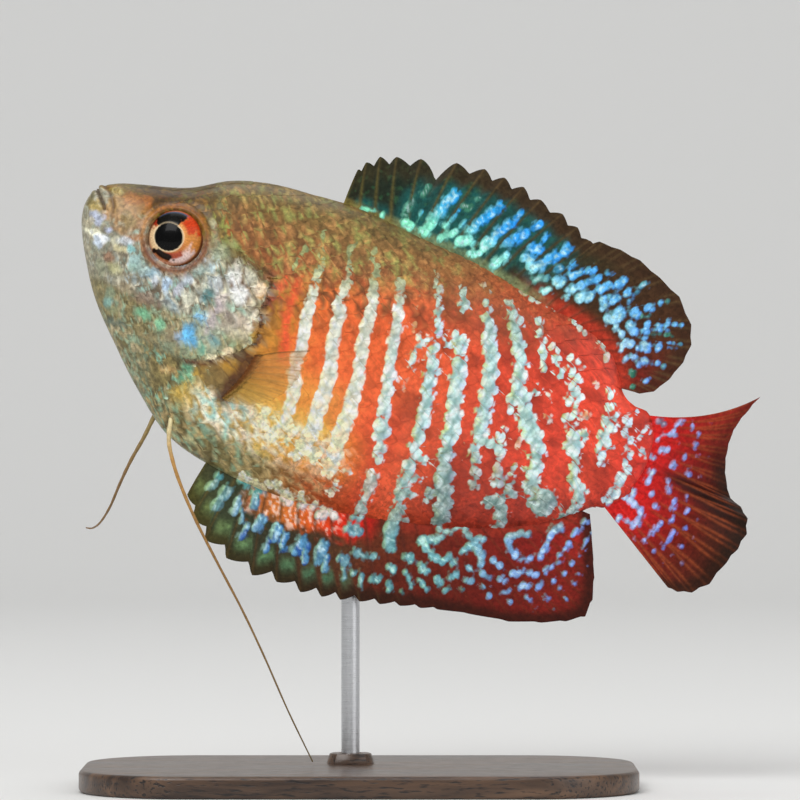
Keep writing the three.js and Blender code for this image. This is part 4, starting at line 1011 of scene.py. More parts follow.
def layScales(form, wanted):
    # each scale's shares and angles over its own small grid, its column and row, and its place in the
    # row. Rows are placed by measuring down every half rib from the back line to the belly line.
    shares = np.linspace(.02, .995, coat["ribs"])
    angles = np.linspace(0, math.pi, 2 * coat["halfSteps"] + 1)
    table = bodyAt(shares[:, None], angles[None, :])
    steps = np.linalg.norm(np.diff(table, axis=1), axis=-1)
    arc = np.concatenate((np.zeros((len(shares), 1)), np.cumsum(steps, axis=1)), axis=1)
    middle = arc[:, coat["halfSteps"]]
    alongMiddle = table[:, coat["halfSteps"], 0]
    rowGap = mix(form["rowGap"], form["rearRowGap"], smooth(alongMiddle, 45, 62))
    reach = np.array(coat["reach"])
    across = np.linspace(-1, 1, coat["columns"])
    found = []
    rowCount = int(coat["deepestHalf"] / form["rowGap"])
    for row in range(-rowCount, rowCount + 1):
        wantedArc = middle - row * rowGap
        inside = (wantedArc > .1) & (wantedArc < arc[:, -1] - .1)
        if inside.sum() < coat["fewestRibs"]:
            continue
        rowAngle = np.array([np.interp(a, line, angles) for a, line in zip(wantedArc, arc)])
        line = bodyAt(shares, rowAngle)
        column = np.where(inside, columnOf(line[:, 0], line[:, 2]), np.nan)
        length = np.append(0, np.cumsum(np.linalg.norm(np.diff(line, axis=0), axis=1)))
        good = np.where(inside)[0]
        span = slice(good[0], good[-1] + 1)
        first = math.ceil(np.nanmin(column) / form["columnGap"])
        last = math.floor(np.nanmax(column) / form["columnGap"])
        numbers = np.arange(first, last + 1)
        numbers = numbers[(numbers + row) % 2 == 0]
        if len(numbers) == 0:
            continue
        order = np.argsort(column[span])
        centre = np.interp(numbers * form["columnGap"], column[span][order], length[span][order])
        jitter = (scatter(numbers, row, 11) - .5) * coat["jitter"] * form["columnGap"]
        centreShare = np.interp(centre, length, shares)
        middlePlace = bodyAt(centreShare, np.interp(centre, length, rowAngle))
        keep = wanted(middlePlace[:, 0], middlePlace[:, 2])
        if not keep.any():
            continue
        numbers, centre, jitter = numbers[keep], centre[keep], jitter[keep]
        tip = centre + form["columnGap"] + jitter
        width = form["halfWidth"] * np.interp(tip, length, rowGap) / form["rowGap"]
        back = form["length"] * (1 - reach)[None, :, None]
        curve = form["sweep"] * (across ** 2)[None, None, :] * reach[None, :, None]
        distance = tip[:, None, None] - back - curve
        spread = np.interp(reach, [0, .45, .8, 1], [.55, .95, 1, .86])
        share = np.interp(distance, length, shares)
        baseAngle = np.interp(distance, length, rowAngle)
        step = bodyAt(share, baseAngle + .01) - bodyAt(share, baseAngle - .01)
        slope = np.linalg.norm(step, axis=-1) / .02
        sideways = across[None, None, :] * spread[None, :, None] * width[:, None, None]
        turned = np.clip(sideways / np.maximum(slope, 1.2), -coat["steepest"], coat["steepest"])
        info = np.stack((numbers, np.full(len(numbers), row)), -1)
        rowPlace = row - sideways / np.interp(distance, length, rowGap)
        found.append((share, baseAngle + turned, info, rowPlace))
    return tuple(np.concatenate([part[k] for part in found]) for k in range(4))


def scaleFaces(count):
    # a closed plate of steps by columns on top, a rim, and an underside of long strips
    steps, columns = len(coat["reach"]), coat["columns"]
    size = steps * columns
    top = gridFaces(steps, columns)
    i = np.arange(steps - 1)
    j = np.arange(columns - 1)
    left = np.stack((i * columns, (i + 1) * columns, (i + 1) * columns + size, i * columns + size), -1)
    right = left[:, ::-1] + columns - 1
    root = np.stack((j + 1, j, j + size, j + 1 + size), -1)
    free = root[:, ::-1] + (steps - 1) * columns
    under = gridFaces(steps, columns)[:, ::-1] + size
    quads = np.concatenate((top, left[:, ::-1], right[:, ::-1], root[:, ::-1], free[:, ::-1], under))
    return (quads[None] + (np.arange(count) * 2 * size)[:, None, None]).reshape(-1, 4)


def makeScales(name, side, parts, slotName):
    # side is -1 on the left and 1 on the right. Height over the skin rises from root to free edge.
    blocks = {}
    for partName, wanted in parts:
        share, angle, info, rowPlace = layScales(lattices[partName], wanted)
        columns = coat["columns"]
        reach = np.broadcast_to(np.array(coat["reach"])[None, :, None], share.shape)
        across = np.broadcast_to(np.linspace(-1, 1, columns)[None, None, :], share.shape)
        plain = bodyAt(share, side * angle)
        along, up = plain[..., 0], plain[..., 2]
        normal = bodyNormal(share, side * angle)
        skinPlace = bodyAt(share, side * angle, -coatDepth) + normal * reliefAt(along, up)[..., None]
        small = lattices[partName]["length"] / lattices["flank"]["length"]
        height = bodyHeight(share, angle)
        flat = np.maximum(smooth(height, .66, .84), smooth(height, .25, .14))
        flat = flat * (1 - smooth(along, 40, 52))
        lift = coat["lift"] * (.35 + .65 * small) * (1 - .65 * flat) * reach
        lift = lift - coat["crown"] * small * across ** 2 * reach
        top = skinPlace + normal * (lift + .01)[..., None]
        luck = scatter(info[:, 0], info[:, 1] + 40 * side, 7)[:, None, None] * np.ones(share.shape)
        phase = (.25 - rowPlace / 2) % 1
        shear = coat["tooth"] * (phase - .5) * np.interp(along, [24, 34, 42], [.3, .5, 1])
        pattern = plain - np.stack((shear, 0 * shear, 0 * shear), -1)
        mark, ground, inside, grainy, beady = bodyPaint(pattern, height, luck, reach, phase, 10 + 5 * side)
        bright = mark.max(-1) - .6 * (mark.max(-1) - mark.min(-1))
        root = np.stack((share, .5 - side * angle / (2 * math.pi)), -1)[:, :1, columns // 2, None]
        arrays = dict(
            places=top, markColour=mark, groundColour=ground, reach=reach, gleam=smooth(bright, .18, .55),
            inside=inside + .05 * (luck - .5), grainy=grainy, beady=beady,
            OFBake=root + np.stack((reach - .5, across * .5), -1) * coat["patch"])
        for key, array in arrays.items():
            under = array - normal * coat["thickness"] if key == "places" else array
            both = np.stack((array, under), 1)
            blocks.setdefault(key, []).append(both.reshape((len(both), -1) + both.shape[4:]))
    whole = {key: np.concatenate(parts) for key, parts in blocks.items()}
    pick = lambda *keys: {key: whole[key] for key in keys}
    makePiece(name, toFrame(whole["places"]), scaleFaces(len(whole["places"])), scaleLook, slotName, [],
              colours=pick("markColour", "groundColour"),
              values=pick("reach", "gleam", "inside", "grainy", "beady"), maps=pick("OFBake"), sharp=50)
    print(name, len(whole["places"]), "scales")


def onFlank(along, up):
    # the flank's scales stop short of the tail fin's rays
    return (behindShoulder(along, up) > .1) & (along < 65.4)


def onCover(along, up):
    # the large scales of the gill cover
    return (behindShoulder(along, up) < -.85) & (along > 15.6) & (up > -8.6) & (up < 2.7)


def onHead(along, up):
    # small scales on the nape, cheek, throat and chest, away from the eye and the bare snout
    clear = np.hypot(along - eye["along"], up - eye["up"]) > 4.2
    snout = along > 7 - .25 * up
    return (behindShoulder(along, up) < .25) & clear & snout & ~onCover(along, up)


for sideName, side in (("left", -1), ("right", 1)):
    makeScales("flank_scales_" + sideName, side, [("flank", onFlank)], "flank_scales")
    makeScales("head_scales_" + sideName, side, [("head", onHead), ("cover", onCover)], "head_skin")


# The eyes: flattened balls with a painted iris, turned a little forwards
eyeLooks = dict(rings=90, around=160, dome=.16, pupil=(1.6, 1.5), pupilShift=(-.38, -.13), goldRing=.13,
                irisEdge=2.9)


def window(turn, centre, half, soft=16):
    # 1 inside half degrees of the centre, fading over the soft degrees
    gap = np.abs((turn - centre + 180) % 360 - 180)
    return smooth(gap, half + soft, half)


def irisShades(across, upward):
    # across runs to the tail and upward to the back. Each part of the iris is a window of turn and radius.
    size = eyeLooks
    ax, uz = across - size["pupilShift"][0], upward - size["pupilShift"][1]
    radius = np.hypot(across, upward)
    turn = np.degrees(np.arctan2(uz, ax))
    ragged = grainAt(np.stack((across, upward, radius), -1), .35, 21) - .5
    bent = turn + 26 * ragged
    pupilReach = np.hypot(ax / size["pupil"][0], uz / size["pupil"][1])
    colour = np.broadcast_to(shade("c87a44"), radius.shape + (3,))
    # pale is a painted highlight: a pinkish white glare low on the iris's tail side
    pale = window(bent, -36, 20, 24) * smooth(radius, 1.7, 2.3) * smooth(radius, 2.98, 2.7)
    black = window(turn + 12 * ragged, 113, 36, 6) * smooth(radius, 2.86, 2.76)
    dark = window(bent, -86, 24, 9) * smooth(radius, 1.75, 1.9) * smooth(radius, 2.62, 2.45)
    spot = np.hypot(across + 1.38, upward + 2.1)
    colour = glaze(
        colour,
        ("b05a30", smooth(radius, 2.2, 2.8) * .6),
        ("f4cf9e", window(bent, 212, 34) * smooth(pupilReach, 1.62, 1.3)),
        ("eaa05c", window(bent, 35, 30) * smooth(pupilReach, 1.45, 1.2)),
        ("d2441e", window(bent, 48, 16, 22) * smooth(pupilReach, 1.2, 1.5)),
        ("a83420", window(bent, 156, 9) * smooth(pupilReach, 1.1, 1.3)),
        ("dc9044", window(bent, 6, 14, 16) * smooth(pupilReach, 1.1, 1.4) * .85),
        ("fadcd4", pale),
        ("b4553c", window(bent, -48, 10) * smooth(radius, 1.6, 1.8) * smooth(radius, 2.4, 2.2)),
        ("dba48a", window(turn, -96, 42) * bell(radius, 2.82, .13)),
        ("0c0b07", black),
        ("4c5c78", window(turn, 106, 26) * bell(radius, 2.76, .09) * .85),
        ("20120c", dark),
        ("1c0d08", smooth(spot, .34, .2)))
    streaks = .5 + .5 * np.sin(np.radians(turn) * 47 + 6 * ragged)
    colour = colour * (.86 + .2 * streaks * (1 - black))[..., None]
    colour = glaze(
        colour,
        ("f2d9b0", smooth(pupilReach, 1 + size["goldRing"], 1.04) * (1 - .6 * black)),
        ("030303", smooth(pupilReach, 1.03, .98)),
        ("8a5434", smooth(radius, size["irisEdge"], size["irisEdge"] + .1)))
    return tint(colour, shade("8a5030"), smooth(radius, 3.06, 3.16))


def inSocket(flat, side):
    # the ball turned forwards about the up axis and set in its socket
    forward = math.radians(eye["forward"])
    out = flat[..., 1] * math.cos(forward) + flat[..., 0] * math.sin(forward)
    along = flat[..., 0] * math.cos(forward) - flat[..., 1] * math.sin(forward)
    return toFrame(np.stack((eye["along"] + along, side * (eye["out"] + out), eye["up"] + flat[..., 2]), -1))


def makeEye(name, side):
    # an ellipsoid about its outward axis, its pupil and clear front swelling by a small dome
    roll = np.linspace(0, math.pi, eyeLooks["rings"] + 2)[1:-1]
    roll, turn = np.meshgrid(roll, circle(eyeLooks["around"]), indexing="ij")
    radius = eye["radius"] * np.sin(roll)
    dome = eyeLooks["dome"] * smooth(radius, 2.9, .6) * (roll < math.pi / 2)
    depth = eye["depth"] * np.cos(roll) + dome
    across, upward = radius * np.cos(turn), radius * np.sin(turn)
    colours = irisShades(across, upward)
    colours = np.where((roll > .62 * math.pi)[..., None], shade("3a2418"), colours)
    ball = np.stack((across, depth, upward), -1)
    poles = np.array([[0, eye["depth"] + eyeLooks["dome"], 0], [0, -eye["depth"], 0]])
    makeTube("eyeball_" + name, inSocket(ball, side), inSocket(poles, side), eyeLook, "eye", ["eye_" + name],
             colours=dict(markColour=colours))


makeEye("left", -1)
makeEye("right", 1)
print("eyes")


# The fins on the back, belly and tail. Rays run from roots to tips; the skin between two rays is
# cut back in a scallop, and each ray is a ridge on both faces.
finBuried = 1.1
dorsal = dict(
    roots=[(25.2, 13.2), (31, 13.3), (37.5, 13.15), (43, 12.8), (48.5, 12.05), (53.5, 11.6), (57, 10.8),
           (59.3, 8.9), (61, 6.75)],
    spineTips=[(25.1, 17), (25.6, 18.1), (26.75, 19.3), (28.4, 20), (30.9, 20.85), (34.6, 22), (37.65, 22.6),
               (40, 22.6), (42.3, 22.5), (44.6, 21.95), (47.3, 21.5), (49.4, 20.8), (51.1, 20)],
    lobe=[(52.2, 20.35), (54.6, 20.45), (57, 20.25), (59.7, 19.4), (62.5, 18.35), (64.9, 16.1), (65.8, 14.1),
          (65.75, 12), (65.1, 9.7), (64.1, 7.85), (62.75, 7)],
    spineShare=.58, softRays=11, frontScallop=.14, rearScallop=.035, bow=.04, notchAt=.6, deepNotch=(4, .27),
    between=13, steps=64,
)
anal = dict(
    roots=[(22.7, -18.6), (27, -18.9), (32.7, -18.8), (39.3, -17.7), (46.7, -15.6), (52.7, -13.4),
           (57, -11.3), (60.9, -8.7), (62.3, -7.1)],
    spineTips=[(22.2, -22.5), (23.7, -24.5), (25.9, -26.2), (28.8, -27.1), (32.1, -27.7), (34.8, -27.3),
               (37.6, -27.3), (39.9, -26.85), (41.9, -26.35), (43.9, -25.7), (46, -25.1), (48.1, -24.4),
               (50.2, -23.75)],
    lobe=[(52, -23.15), (55.5, -22.2), (59.6, -21.3), (62.9, -20), (65.3, -18.8), (67, -17.5), (67, -15.5),
          (66.2, -13.2), (65.3, -11.4), (63.9, -8.7), (63, -7.1)],
    spineShare=.52, softRays=11, frontScallop=.16, rearScallop=.015, bow=-.04, notchAt=.8, deepNotch=None,
    between=13, steps=60,
)
tail = dict(
    roots=[(63.4, 5.3), (65.2, 4.2), (66.1, 2.2), (66.4, 0), (66.2, -2.3), (65.3, -4.4), (64, -5.7)],
    margin=[(74.96, 11.96), (74.3, 9.9), (73.85, 8.2), (73.8, 6.75), (74.1, 5.1), (74.6, 3.65), (75.4, 2.2),
            (76.6, .6), (78, .18), (79.1, -.7), (79.6, -2.3), (79.3, -4.2), (78.7, -6.1), (77.9, -8.9),
            (76.5, -10.5), (75, -11.05), (73.87, -11.02)],
    rays=17, topBow=-.2, foldAt=.42, foldWidth=.17, foldDepth=4.2, lowerSwing=-1.6, between=17, steps=72,
)
ridge = dict(spineHalf=.2, softHalf=.13, tipHalf=.07, webHalf=.045, rootHalf=.22,
             spineWidth=.24, softWidth=.17, partingWidth=.17)


def medianRays(fin):
    # roots at even lengths along the body, spine tips as listed, and soft tips spread on the lobe
    spines = len(fin["spineTips"])
    soft = np.arange(fin["softRays"])
    spineShares = fin["spineShare"] * np.arange(spines) / (spines - 1)
    softShares = fin["spineShare"] + (1 - fin["spineShare"]) * (soft + 1) / fin["softRays"]
    roots = evenAlong(fin["roots"], np.concatenate((spineShares, softShares)))
    tips = np.concatenate((fin["spineTips"], splineAt(fin["lobe"], soft / (fin["softRays"] - 1))))
    scallops = np.concatenate((mix(fin["frontScallop"], fin["rearScallop"], np.arange(spines) / spines),
                               np.full(fin["softRays"], .01)))
    if fin["deepNotch"]:
        web, depth = fin["deepNotch"]
        scallops[web] = depth
    bows = np.full(len(tips), fin["bow"])
    return dict(roots=roots, tips=tips, scallops=scallops, bows=bows, spines=spines, notchAt=fin["notchAt"])


def tailFan():
    # the tail's rays, the upper ones bowed to the tail's hollow top edge
    share = np.arange(tail["rays"]) / (tail["rays"] - 1)
    bows = tail["topBow"] * np.maximum(0, 1 - share / .3)
    return dict(roots=splineAt(tail["roots"], share), tips=splineAt(tail["margin"], share),
                scallops=np.full(tail["rays"], .012), bows=bows, spines=0, notchAt=.5)


def finGrid(rays, sway, between, steps):
    # with f the share from one ray to the next, root and tip are mixed by f and the tip is drawn
    # back by scallop times a notch that grows as (f / notchAt)^1.5 and shrinks again behind
    # notchAt; each line is the quadratic curve of buried root, middle, tip
    count = len(rays["tips"])
    number = np.linspace(0, count - 1, (count - 1) * between + 1)
    start = np.minimum(np.floor(number).astype(int), count - 2)
    f = number - start
    pick = lambda array: mix(array[start], array[start + 1], f[:, None])
    root, tip = pick(rays["roots"]), pick(rays["tips"])
    bow = mix(rays["bows"][start], rays["bows"][start + 1], f)
    notch = np.minimum(f / rays["notchAt"], (1 - f) / (1 - rays["notchAt"])) ** 1.5
    tip = mix(tip, root, (rays["scallops"][start] * notch)[:, None])
    step = tip - root
    buried = root - unit(step) * finBuried
    middle = root + step * .5 + np.stack((-step[:, 1], step[:, 0]), -1) * bow[:, None]
    share = np.linspace(0, 1, steps)[None, :, None]
    flat = curveAt(buried[:, None], middle[:, None], tip[:, None], share)
    share = share[..., 0] * np.ones(flat.shape[:2])
    steps = np.linalg.norm(np.diff(flat, axis=1), axis=-1)
    length = np.concatenate((np.zeros((len(number), 1)), np.cumsum(steps, axis=1)), 1)
    place = (number / (count - 1))[:, None]
    out = bend(flat[..., 0]) + sway(place, share)
    places = np.stack((flat[..., 0], out, flat[..., 1]), -1)
    gap = np.linalg.norm(np.gradient(places, axis=0), axis=-1) * between
    return dict(places=places, share=share, base=length - finBuried, edge=length[:, -1:] - length,
                number=np.broadcast_to(number[:, None], share.shape),
                f=np.broadcast_to(f[:, None], share.shape),
                gap=gap, spiny=number[:, None] < rays["spines"] - .5 + 0 * share)


def ridgesAt(f, parting, gap, width):
    # 1 on the nearest ray's branch and exp(-(distance / width)^2) beside it; a ray parts in two
    away = np.minimum(np.abs(f - parting), np.abs(f - (1 - parting)))
    return np.exp(-(away * gap / width) ** 2)


def finRidges(grid):
    # the rays of a grid. Soft rays part in two over their outer half.
    parting = np.where(grid["spiny"], 0, ridge["partingWidth"] * smooth(grid["share"], .45, .8))
    width = np.where(grid["spiny"], ridge["spineWidth"] * mix(1, .5, grid["share"]), ridge["softWidth"])
    return ridgesAt(grid["f"], parting, grid["gap"], width)


def makeFin(name, fin, rays, sway, paint, replaced):
    # a web with the rays' ridges on both faces, all of it thicker at the root, closed round the edges
    grid = finGrid(rays, sway, fin["between"], fin["steps"])
    shape = finRidges(grid)
    rayHalf = np.where(grid["spiny"], ridge["spineHalf"], ridge["softHalf"])
    rayHalf = mix(rayHalf, ridge["tipHalf"], grid["share"])
    rootHalf = ridge["rootHalf"] * smooth(grid["base"], 1.6, -.4)
    shift = np.zeros(grid["places"].shape)
    shift[..., 1] = ridge["webHalf"] + rootHalf + (rayHalf - ridge["webHalf"]) * shape
    places = twoFaced(grid["places"] - shift, grid["places"] + shift)
    mark, ground, inside = (twoFaced(array, array) for array in paint(grid, shape))
    makePiece(name, toFrame(places), plateFaces(len(places), fin["steps"]), finLook, "fin", [replaced],
              colours=dict(markColour=mark, groundColour=ground), values=dict(inside=inside))
    print(name, inside.size, "points")


dorsalMarks = [
    (.25, .7, 27.3, 13.5, 28.3, 13.6), (.28, .8, 29.4, 13.6), (.6, .95, 32.2, 13.7, 32.6, 13.8),
    (.45, .35, 31.8, 14.8, 31.8, 16.4), (.42, .25, 32.7, 17.6, 32.8, 18.3), (.15, .7, 33.2, 14, 33.3, 15.6),
    (.65, 1, 34.4, 13.9, 34.8, 15.5, 35.2, 17.3, 35.7, 18.7), (.22, .8, 36.2, 15.2, 36.8, 17.3),
    (.45, .65, 36.2, 13.9, 37.5, 15.1), (.15, .6, 37.5, 15.3, 38.1, 16.8), (.4, .2, 37.2, 18, 37.9, 18.1),
    (.72, .95, 38.3, 14.3, 39.1, 14.8), (.5, .8, 38.8, 15.8, 39.4, 17.2),
    (.58, 1, 39.7, 17.7, 40.3, 18.6, 40.8, 19.5), (.4, .35, 38.4, 19.4), (.45, .9, 40, 13.7, 40.7, 14),
    (.72, 1, 41, 15, 41.3, 15.6), (.6, 1, 41.5, 16.4, 42, 17.3, 42.6, 18.2), (.4, .9, 42.8, 19, 43.2, 19.7),
    (.5, .85, 42.6, 13.3, 43.4, 14.8), (.55, .7, 42.9, 16.1, 43.4, 16.3), (.62, 1, 43.8, 17.2, 44.5, 18),
    (.46, 1, 45, 18.8, 45.5, 19.5), (.58, 1, 45.8, 16.8, 46.4, 17), (.3, .8, 46.6, 18.3, 46.7, 18.6),
    (.6, 1, 45.6, 15.6, 46.2, 15.7), (.7, 1, 46.6, 15, 47.4, 15.6), (.6, 1, 47.9, 16.4, 48.4, 17),
    (.55, 1, 49.1, 17.8, 49.3, 18.3), (.42, .5, 49, 15.7, 49.4, 16.1), (.56, .95, 49.6, 14.5, 50.2, 14.9),
    (.35, .5, 47.4, 13.8, 48.4, 14.4), (.33, .7, 48.8, 13, 49.3, 13.5), (.36, .95, 50.4, 16.6, 50.7, 17),
    (.42, 1, 50.8, 15.8, 51.7, 16.4), (.46, 1, 51.6, 14.6, 52.2, 15.2), (.34, .9, 51, 14.1),
    (.34, .9, 51.2, 13.5), (.36, .95, 52.4, 16.9, 52.9, 17.5), (.42, 1, 52.8, 15.9, 53.7, 16.6),
    (.62, 1, 52.6, 13.9, 53.5, 14.7), (.3, .9, 54.4, 17.4, 54.7, 17.6), (.46, 1, 54.3, 15.7, 55.1, 16.5),
    (.5, .95, 55, 14.7, 55.4, 14.2), (.44, 1, 55.8, 17, 56.2, 17.4), (.58, 1, 56, 15.3, 56.3, 15.6),
    (.45, 1, 57, 16.3, 57.3, 16.6), (.28, .9, 57.7, 15.8), (.32, .5, 58, 17.2, 58.6, 18.1),
    (.75, 1, 57.1, 13.8, 57.3, 14), (.5, .95, 56.3, 13, 56.9, 13.2), (.62, 1, 58.6, 14.9, 58.7, 14.8),
    (.64, 1, 59.1, 13.3, 59.2, 13.1), (.44, 1, 60.5, 14.2, 60.6, 13.6), (.34, .95, 59.6, 15.8, 60.3, 16.3),
    (.28, .8, 60.9, 16.8), (.16, .4, 61.6, 17.3), (.18, .4, 59.8, 14.8, 60.2, 15),
    (.36, 1, 61.7, 14.7, 61.8, 14.3), (.3, .9, 62.5, 15.3, 62.6, 14.8), (.24, .8, 63.3, 15.4),
    (.2, .7, 64, 15.6), (.38, .95, 62.5, 12.8, 62.6, 12.4), (.3, .85, 63.4, 13.2), (.24, .75, 64.1, 13.3),
    (.16, .5, 64.7, 13.7), (.14, .4, 61.4, 13.4, 62.3, 13.8), (.14, .35, 62.9, 14, 63.4, 14.2),
    (.58, 1, 61, 12.3, 61.3, 11.9), (.48, 1, 59.2, 11.5, 59.7, 11.7), (.24, .8, 60.5, 11.5),
    (.3, .9, 57.5, 12.6, 58.5, 12.2), (.28, .8, 58.8, 11.1, 59, 10.7), (.4, .95, 61.6, 10.5, 62, 10.5),
    (.26, .85, 60.4, 10.4, 60.6, 10.5), (.26, .8, 63.2, 10.8), (.18, .5, 64, 10.8), (.18, .7, 62.7, 10.5),
    (.26, .85, 61.3, 10.1, 61.3, 9.7), (.24, .8, 59.8, 9.9, 59.8, 9.5), (.26, .8, 62.9, 8.7, 62.8, 8.5),
    (.24, .3, 61.1, 8.9, 61.2, 8.5), (.28, .25, 61.8, 7.5),
]
analMarks = [
    (.3, .6, 24.5, -19.4, 24.1, -21), (.45, .5, 25.9, -20.3, 25.5, -22.6), (.3, .7, 26.3, -20.2, 26, -21),
    (.28, .8, 27.5, -20.8, 27.6, -22.2), (.2, .6, 28.3, -21.8, 28.8, -22.8),
    (.4, .6, 28.9, -19.4, 29.2, -20.6), (.5, .95, 30.6, -21.9, 30.4, -22.8),
    (.28, 1, 29.6, -23.2, 29.3, -24.3), (.5, .85, 32.6, -21.9, 32.8, -23),
    (.25, .95, 33.5, -22.2, 34, -23.9), (.2, .8, 32.2, -23.6, 32.3, -24.6),
    (.55, .95, 35.6, -22.1, 35.4, -23.4), (.28, .9, 36.1, -22.2, 36.7, -24.1),
    (.6, .8, 37.8, -21.8, 38, -23.2), (.24, .85, 38.6, -22.6, 39, -24.1),
    (.45, .85, 40.2, -22.1, 40.8, -22.4), (.24, .85, 41, -23.2, 41.4, -24),
    (.22, .6, 42.8, -22.8, 43.4, -24.2), (.3, .6, 42.1, -23.2),
    (.32, .85, 41.3, -21, 42.6, -21, 43.5, -20.6), (.75, .9, 43.8, -16.4, 43.9, -17.6, 44.5, -18.8),
    (.62, .9, 46.8, -19.3, 47.1, -19.4), (.56, .9, 48.7, -19.5, 49, -19.8),
    (.46, 1, 50.6, -20.1, 50.9, -20.4), (.48, .9, 51.9, -19.2, 52.4, -19),
    (.33, .75, 53.7, -19.1, 54.2, -18.9), (.24, .6, 55.5, -18.9, 55.9, -18.9), (.2, .8, 56.3, -18.6),
    (.46, .85, 45.5, -21, 45.9, -21.3), (.33, .85, 47.3, -20.9, 48, -21.6, 48.3, -21.9),
    (.28, .8, 49, -21, 50, -21.6), (.28, .7, 51.9, -20.9, 52.4, -20.5), (.24, .4, 53.6, -20),
    (.46, .6, 44.2, -22.8, 44.8, -22.7), (.42, .65, 46, -22.8, 46.3, -23.1), (.3, .4, 47.8, -23),
    (.3, .85, 48, -14.2, 48.8, -15.2, 49.9, -14.8, 50.6, -14, 51.2, -13.9),
    (.48, .95, 49.1, -15.9, 48.3, -16.6, 47.3, -16.9, 48.3, -17.6),
    (.42, .9, 48.6, -17.7, 49.4, -18.1, 50.3, -18.3, 50.9, -17.4, 51.7, -17.8),
    (.33, .8, 51.3, -14.3, 52.4, -14.7, 53.4, -14.2), (.38, .9, 52.6, -14.8, 52.2, -16, 51.9, -16.2),
    (.52, .95, 53, -15, 54, -16, 54.3, -16.6), (.36, 1, 55.3, -15.9, 56.4, -16.2),
    (.38, 1, 57.9, -16.3, 58.8, -15.8), (.36, 1, 59.6, -15.7, 60.4, -15.3),
    (.26, .95, 61, -14.8, 61.5, -13.9), (.33, 1, 62.1, -13.2), (.34, .95, 61.9, -12.4, 62, -11.7),
    (.42, 1, 62.2, -10.9), (.28, .9, 62.3, -10, 62.4, -9.2), (.28, .9, 62.7, -8.8, 62.9, -8),
    (.4, .55, 57.6, -11.8, 56.4, -12.4, 55.9, -12.8), (.46, 1, 55.9, -13.2, 56.6, -14, 57.4, -14.4),
    (.3, 1, 58.3, -14.4, 59.1, -14.1), (.42, 1, 59.8, -13.4, 60, -12, 60, -10.6),
    (.6, 1, 60.2, -10.2, 60.5, -9.9), (.28, .95, 53, -17.6, 53.9, -17.8), (.38, 1, 54.9, -17.6, 55.5, -17.8),
    (.38, 1, 57, -17.4, 57.3, -17.4), (.38, 1, 59.2, -17.4, 59.9, -16.9), (.4, 1, 60.9, -16.6, 61.2, -16.2),
    (.35, 1, 62.2, -15.3), (.33, 1, 63.1, -14.1), (.33, 1, 63.4, -12.8), (.26, .95, 63.8, -11.7),
    (.22, .95, 63.8, -9.9, 63.9, -10.7), (.17, .8, 64, -9), (.36, 1, 57.8, -18.6, 58.3, -18.3),
    (.38, .95, 56.5, -19.6), (.22, .7, 58.9, -19.2), (.36, .95, 60.5, -18.2), (.22, .4, 61.6, -18.9),
    (.33, .8, 62.3, -17.3), (.28, .9, 63.3, -15.9), (.26, .9, 64.3, -14.9, 64.4, -14.6),
    (.26, .9, 64.5, -13.5), (.18, .8, 65, -12.4), (.2, .6, 64.3, -16.6), (.18, .4, 63.5, -18),
]
tailMarks = [
    (.26, .7, 65.1, 4.2, 64.7, 2.8), (.36, .35, 66, 5.1, 66.4, 5.1),
    (.4, 1, 64.8, -3.8, 65.8, -3.9, 66.6, -4, 67.6, -4.4, 68.1, -5, 68.1, -6),
    (.4, 1, 66.2, -2.9, 66.5, -3.9), (.33, .95, 67.2, -6.2, 68, -6.4), (.42, .95, 66, -6.3),
    (.2, .4, 67.3, -7.6), (.27, .9, 68.7, -7.7), (.26, .9, 68.2, 6.3, 67.8, 5.3, 67.8, 4.6),
    (.27, .95, 68, 4.5, 66.9, 4, 66.5, 3.3), (.33, .95, 67.3, 2.3, 68, 2.6),
    (.31, .95, 65.4, 1.4, 66.9, 1.1), (.26, .85, 69.2, 6.5, 69.6, 5.9), (.2, .4, 71, 7.2),
    (.28, .8, 68.9, 3.8), (.2, .7, 70.4, 5.6, 70.5, 5.1), (.22, .95, 70.6, 4.6, 70.6, 4.1),
    (.3, .9, 70, 3, 70.1, 2.7), (.27, .95, 71.4, 3.3), (.32, .85, 69.3, 1.6, 69.1, 1), (.3, .95, 71.2, 1.1),
    (.2, .3, 71, 1.8), (.22, .4, 72.6, 1.4), (.2, .3, 72.4, 3.5), (.4, 1, 67.4, -.3, 67.4, -1.3),
    (.4, 1, 68.3, -2.3), (.4, 1, 69.2, -3.6), (.36, 1, 70.8, -2.2, 71, -2.9),
    (.28, .6, 69.4, -.5, 69.9, -1.4), (.22, .6, 72, -1.2, 72.1, -1.7), (.26, .95, 72.7, -2.4, 72.5, -3),
    (.22, .4, 74, -2.9), (.3, .95, 71.5, -3.9, 71.2, -4.3), (.28, .8, 73, -4.4),
    (.28, .95, 70.5, -4.9, 70.1, -6, 69.6, -7.3), (.28, .95, 72.2, -5.2, 71.9, -6.4, 71.7, -7.1),
    (.26, .95, 70.9, -7.9), (.24, .8, 73.5, -6.3), (.2, .5, 73.1, -7.5), (.18, .4, 74.3, -8),
    (.18, .3, 72.4, -8.8), (.2, .25, 74.5, -5),
]


def finMarks(marks, grid, shape, pinch, wider):
    # the fin's marks, each pinched where a ray crosses it, and some made wider
    inside, strength, across = markAt(marks, grid["places"][..., 0], grid["places"][..., 2])
    return inside - pinch * shape * smooth(grid["share"], .2, .5) + wider, strength, across


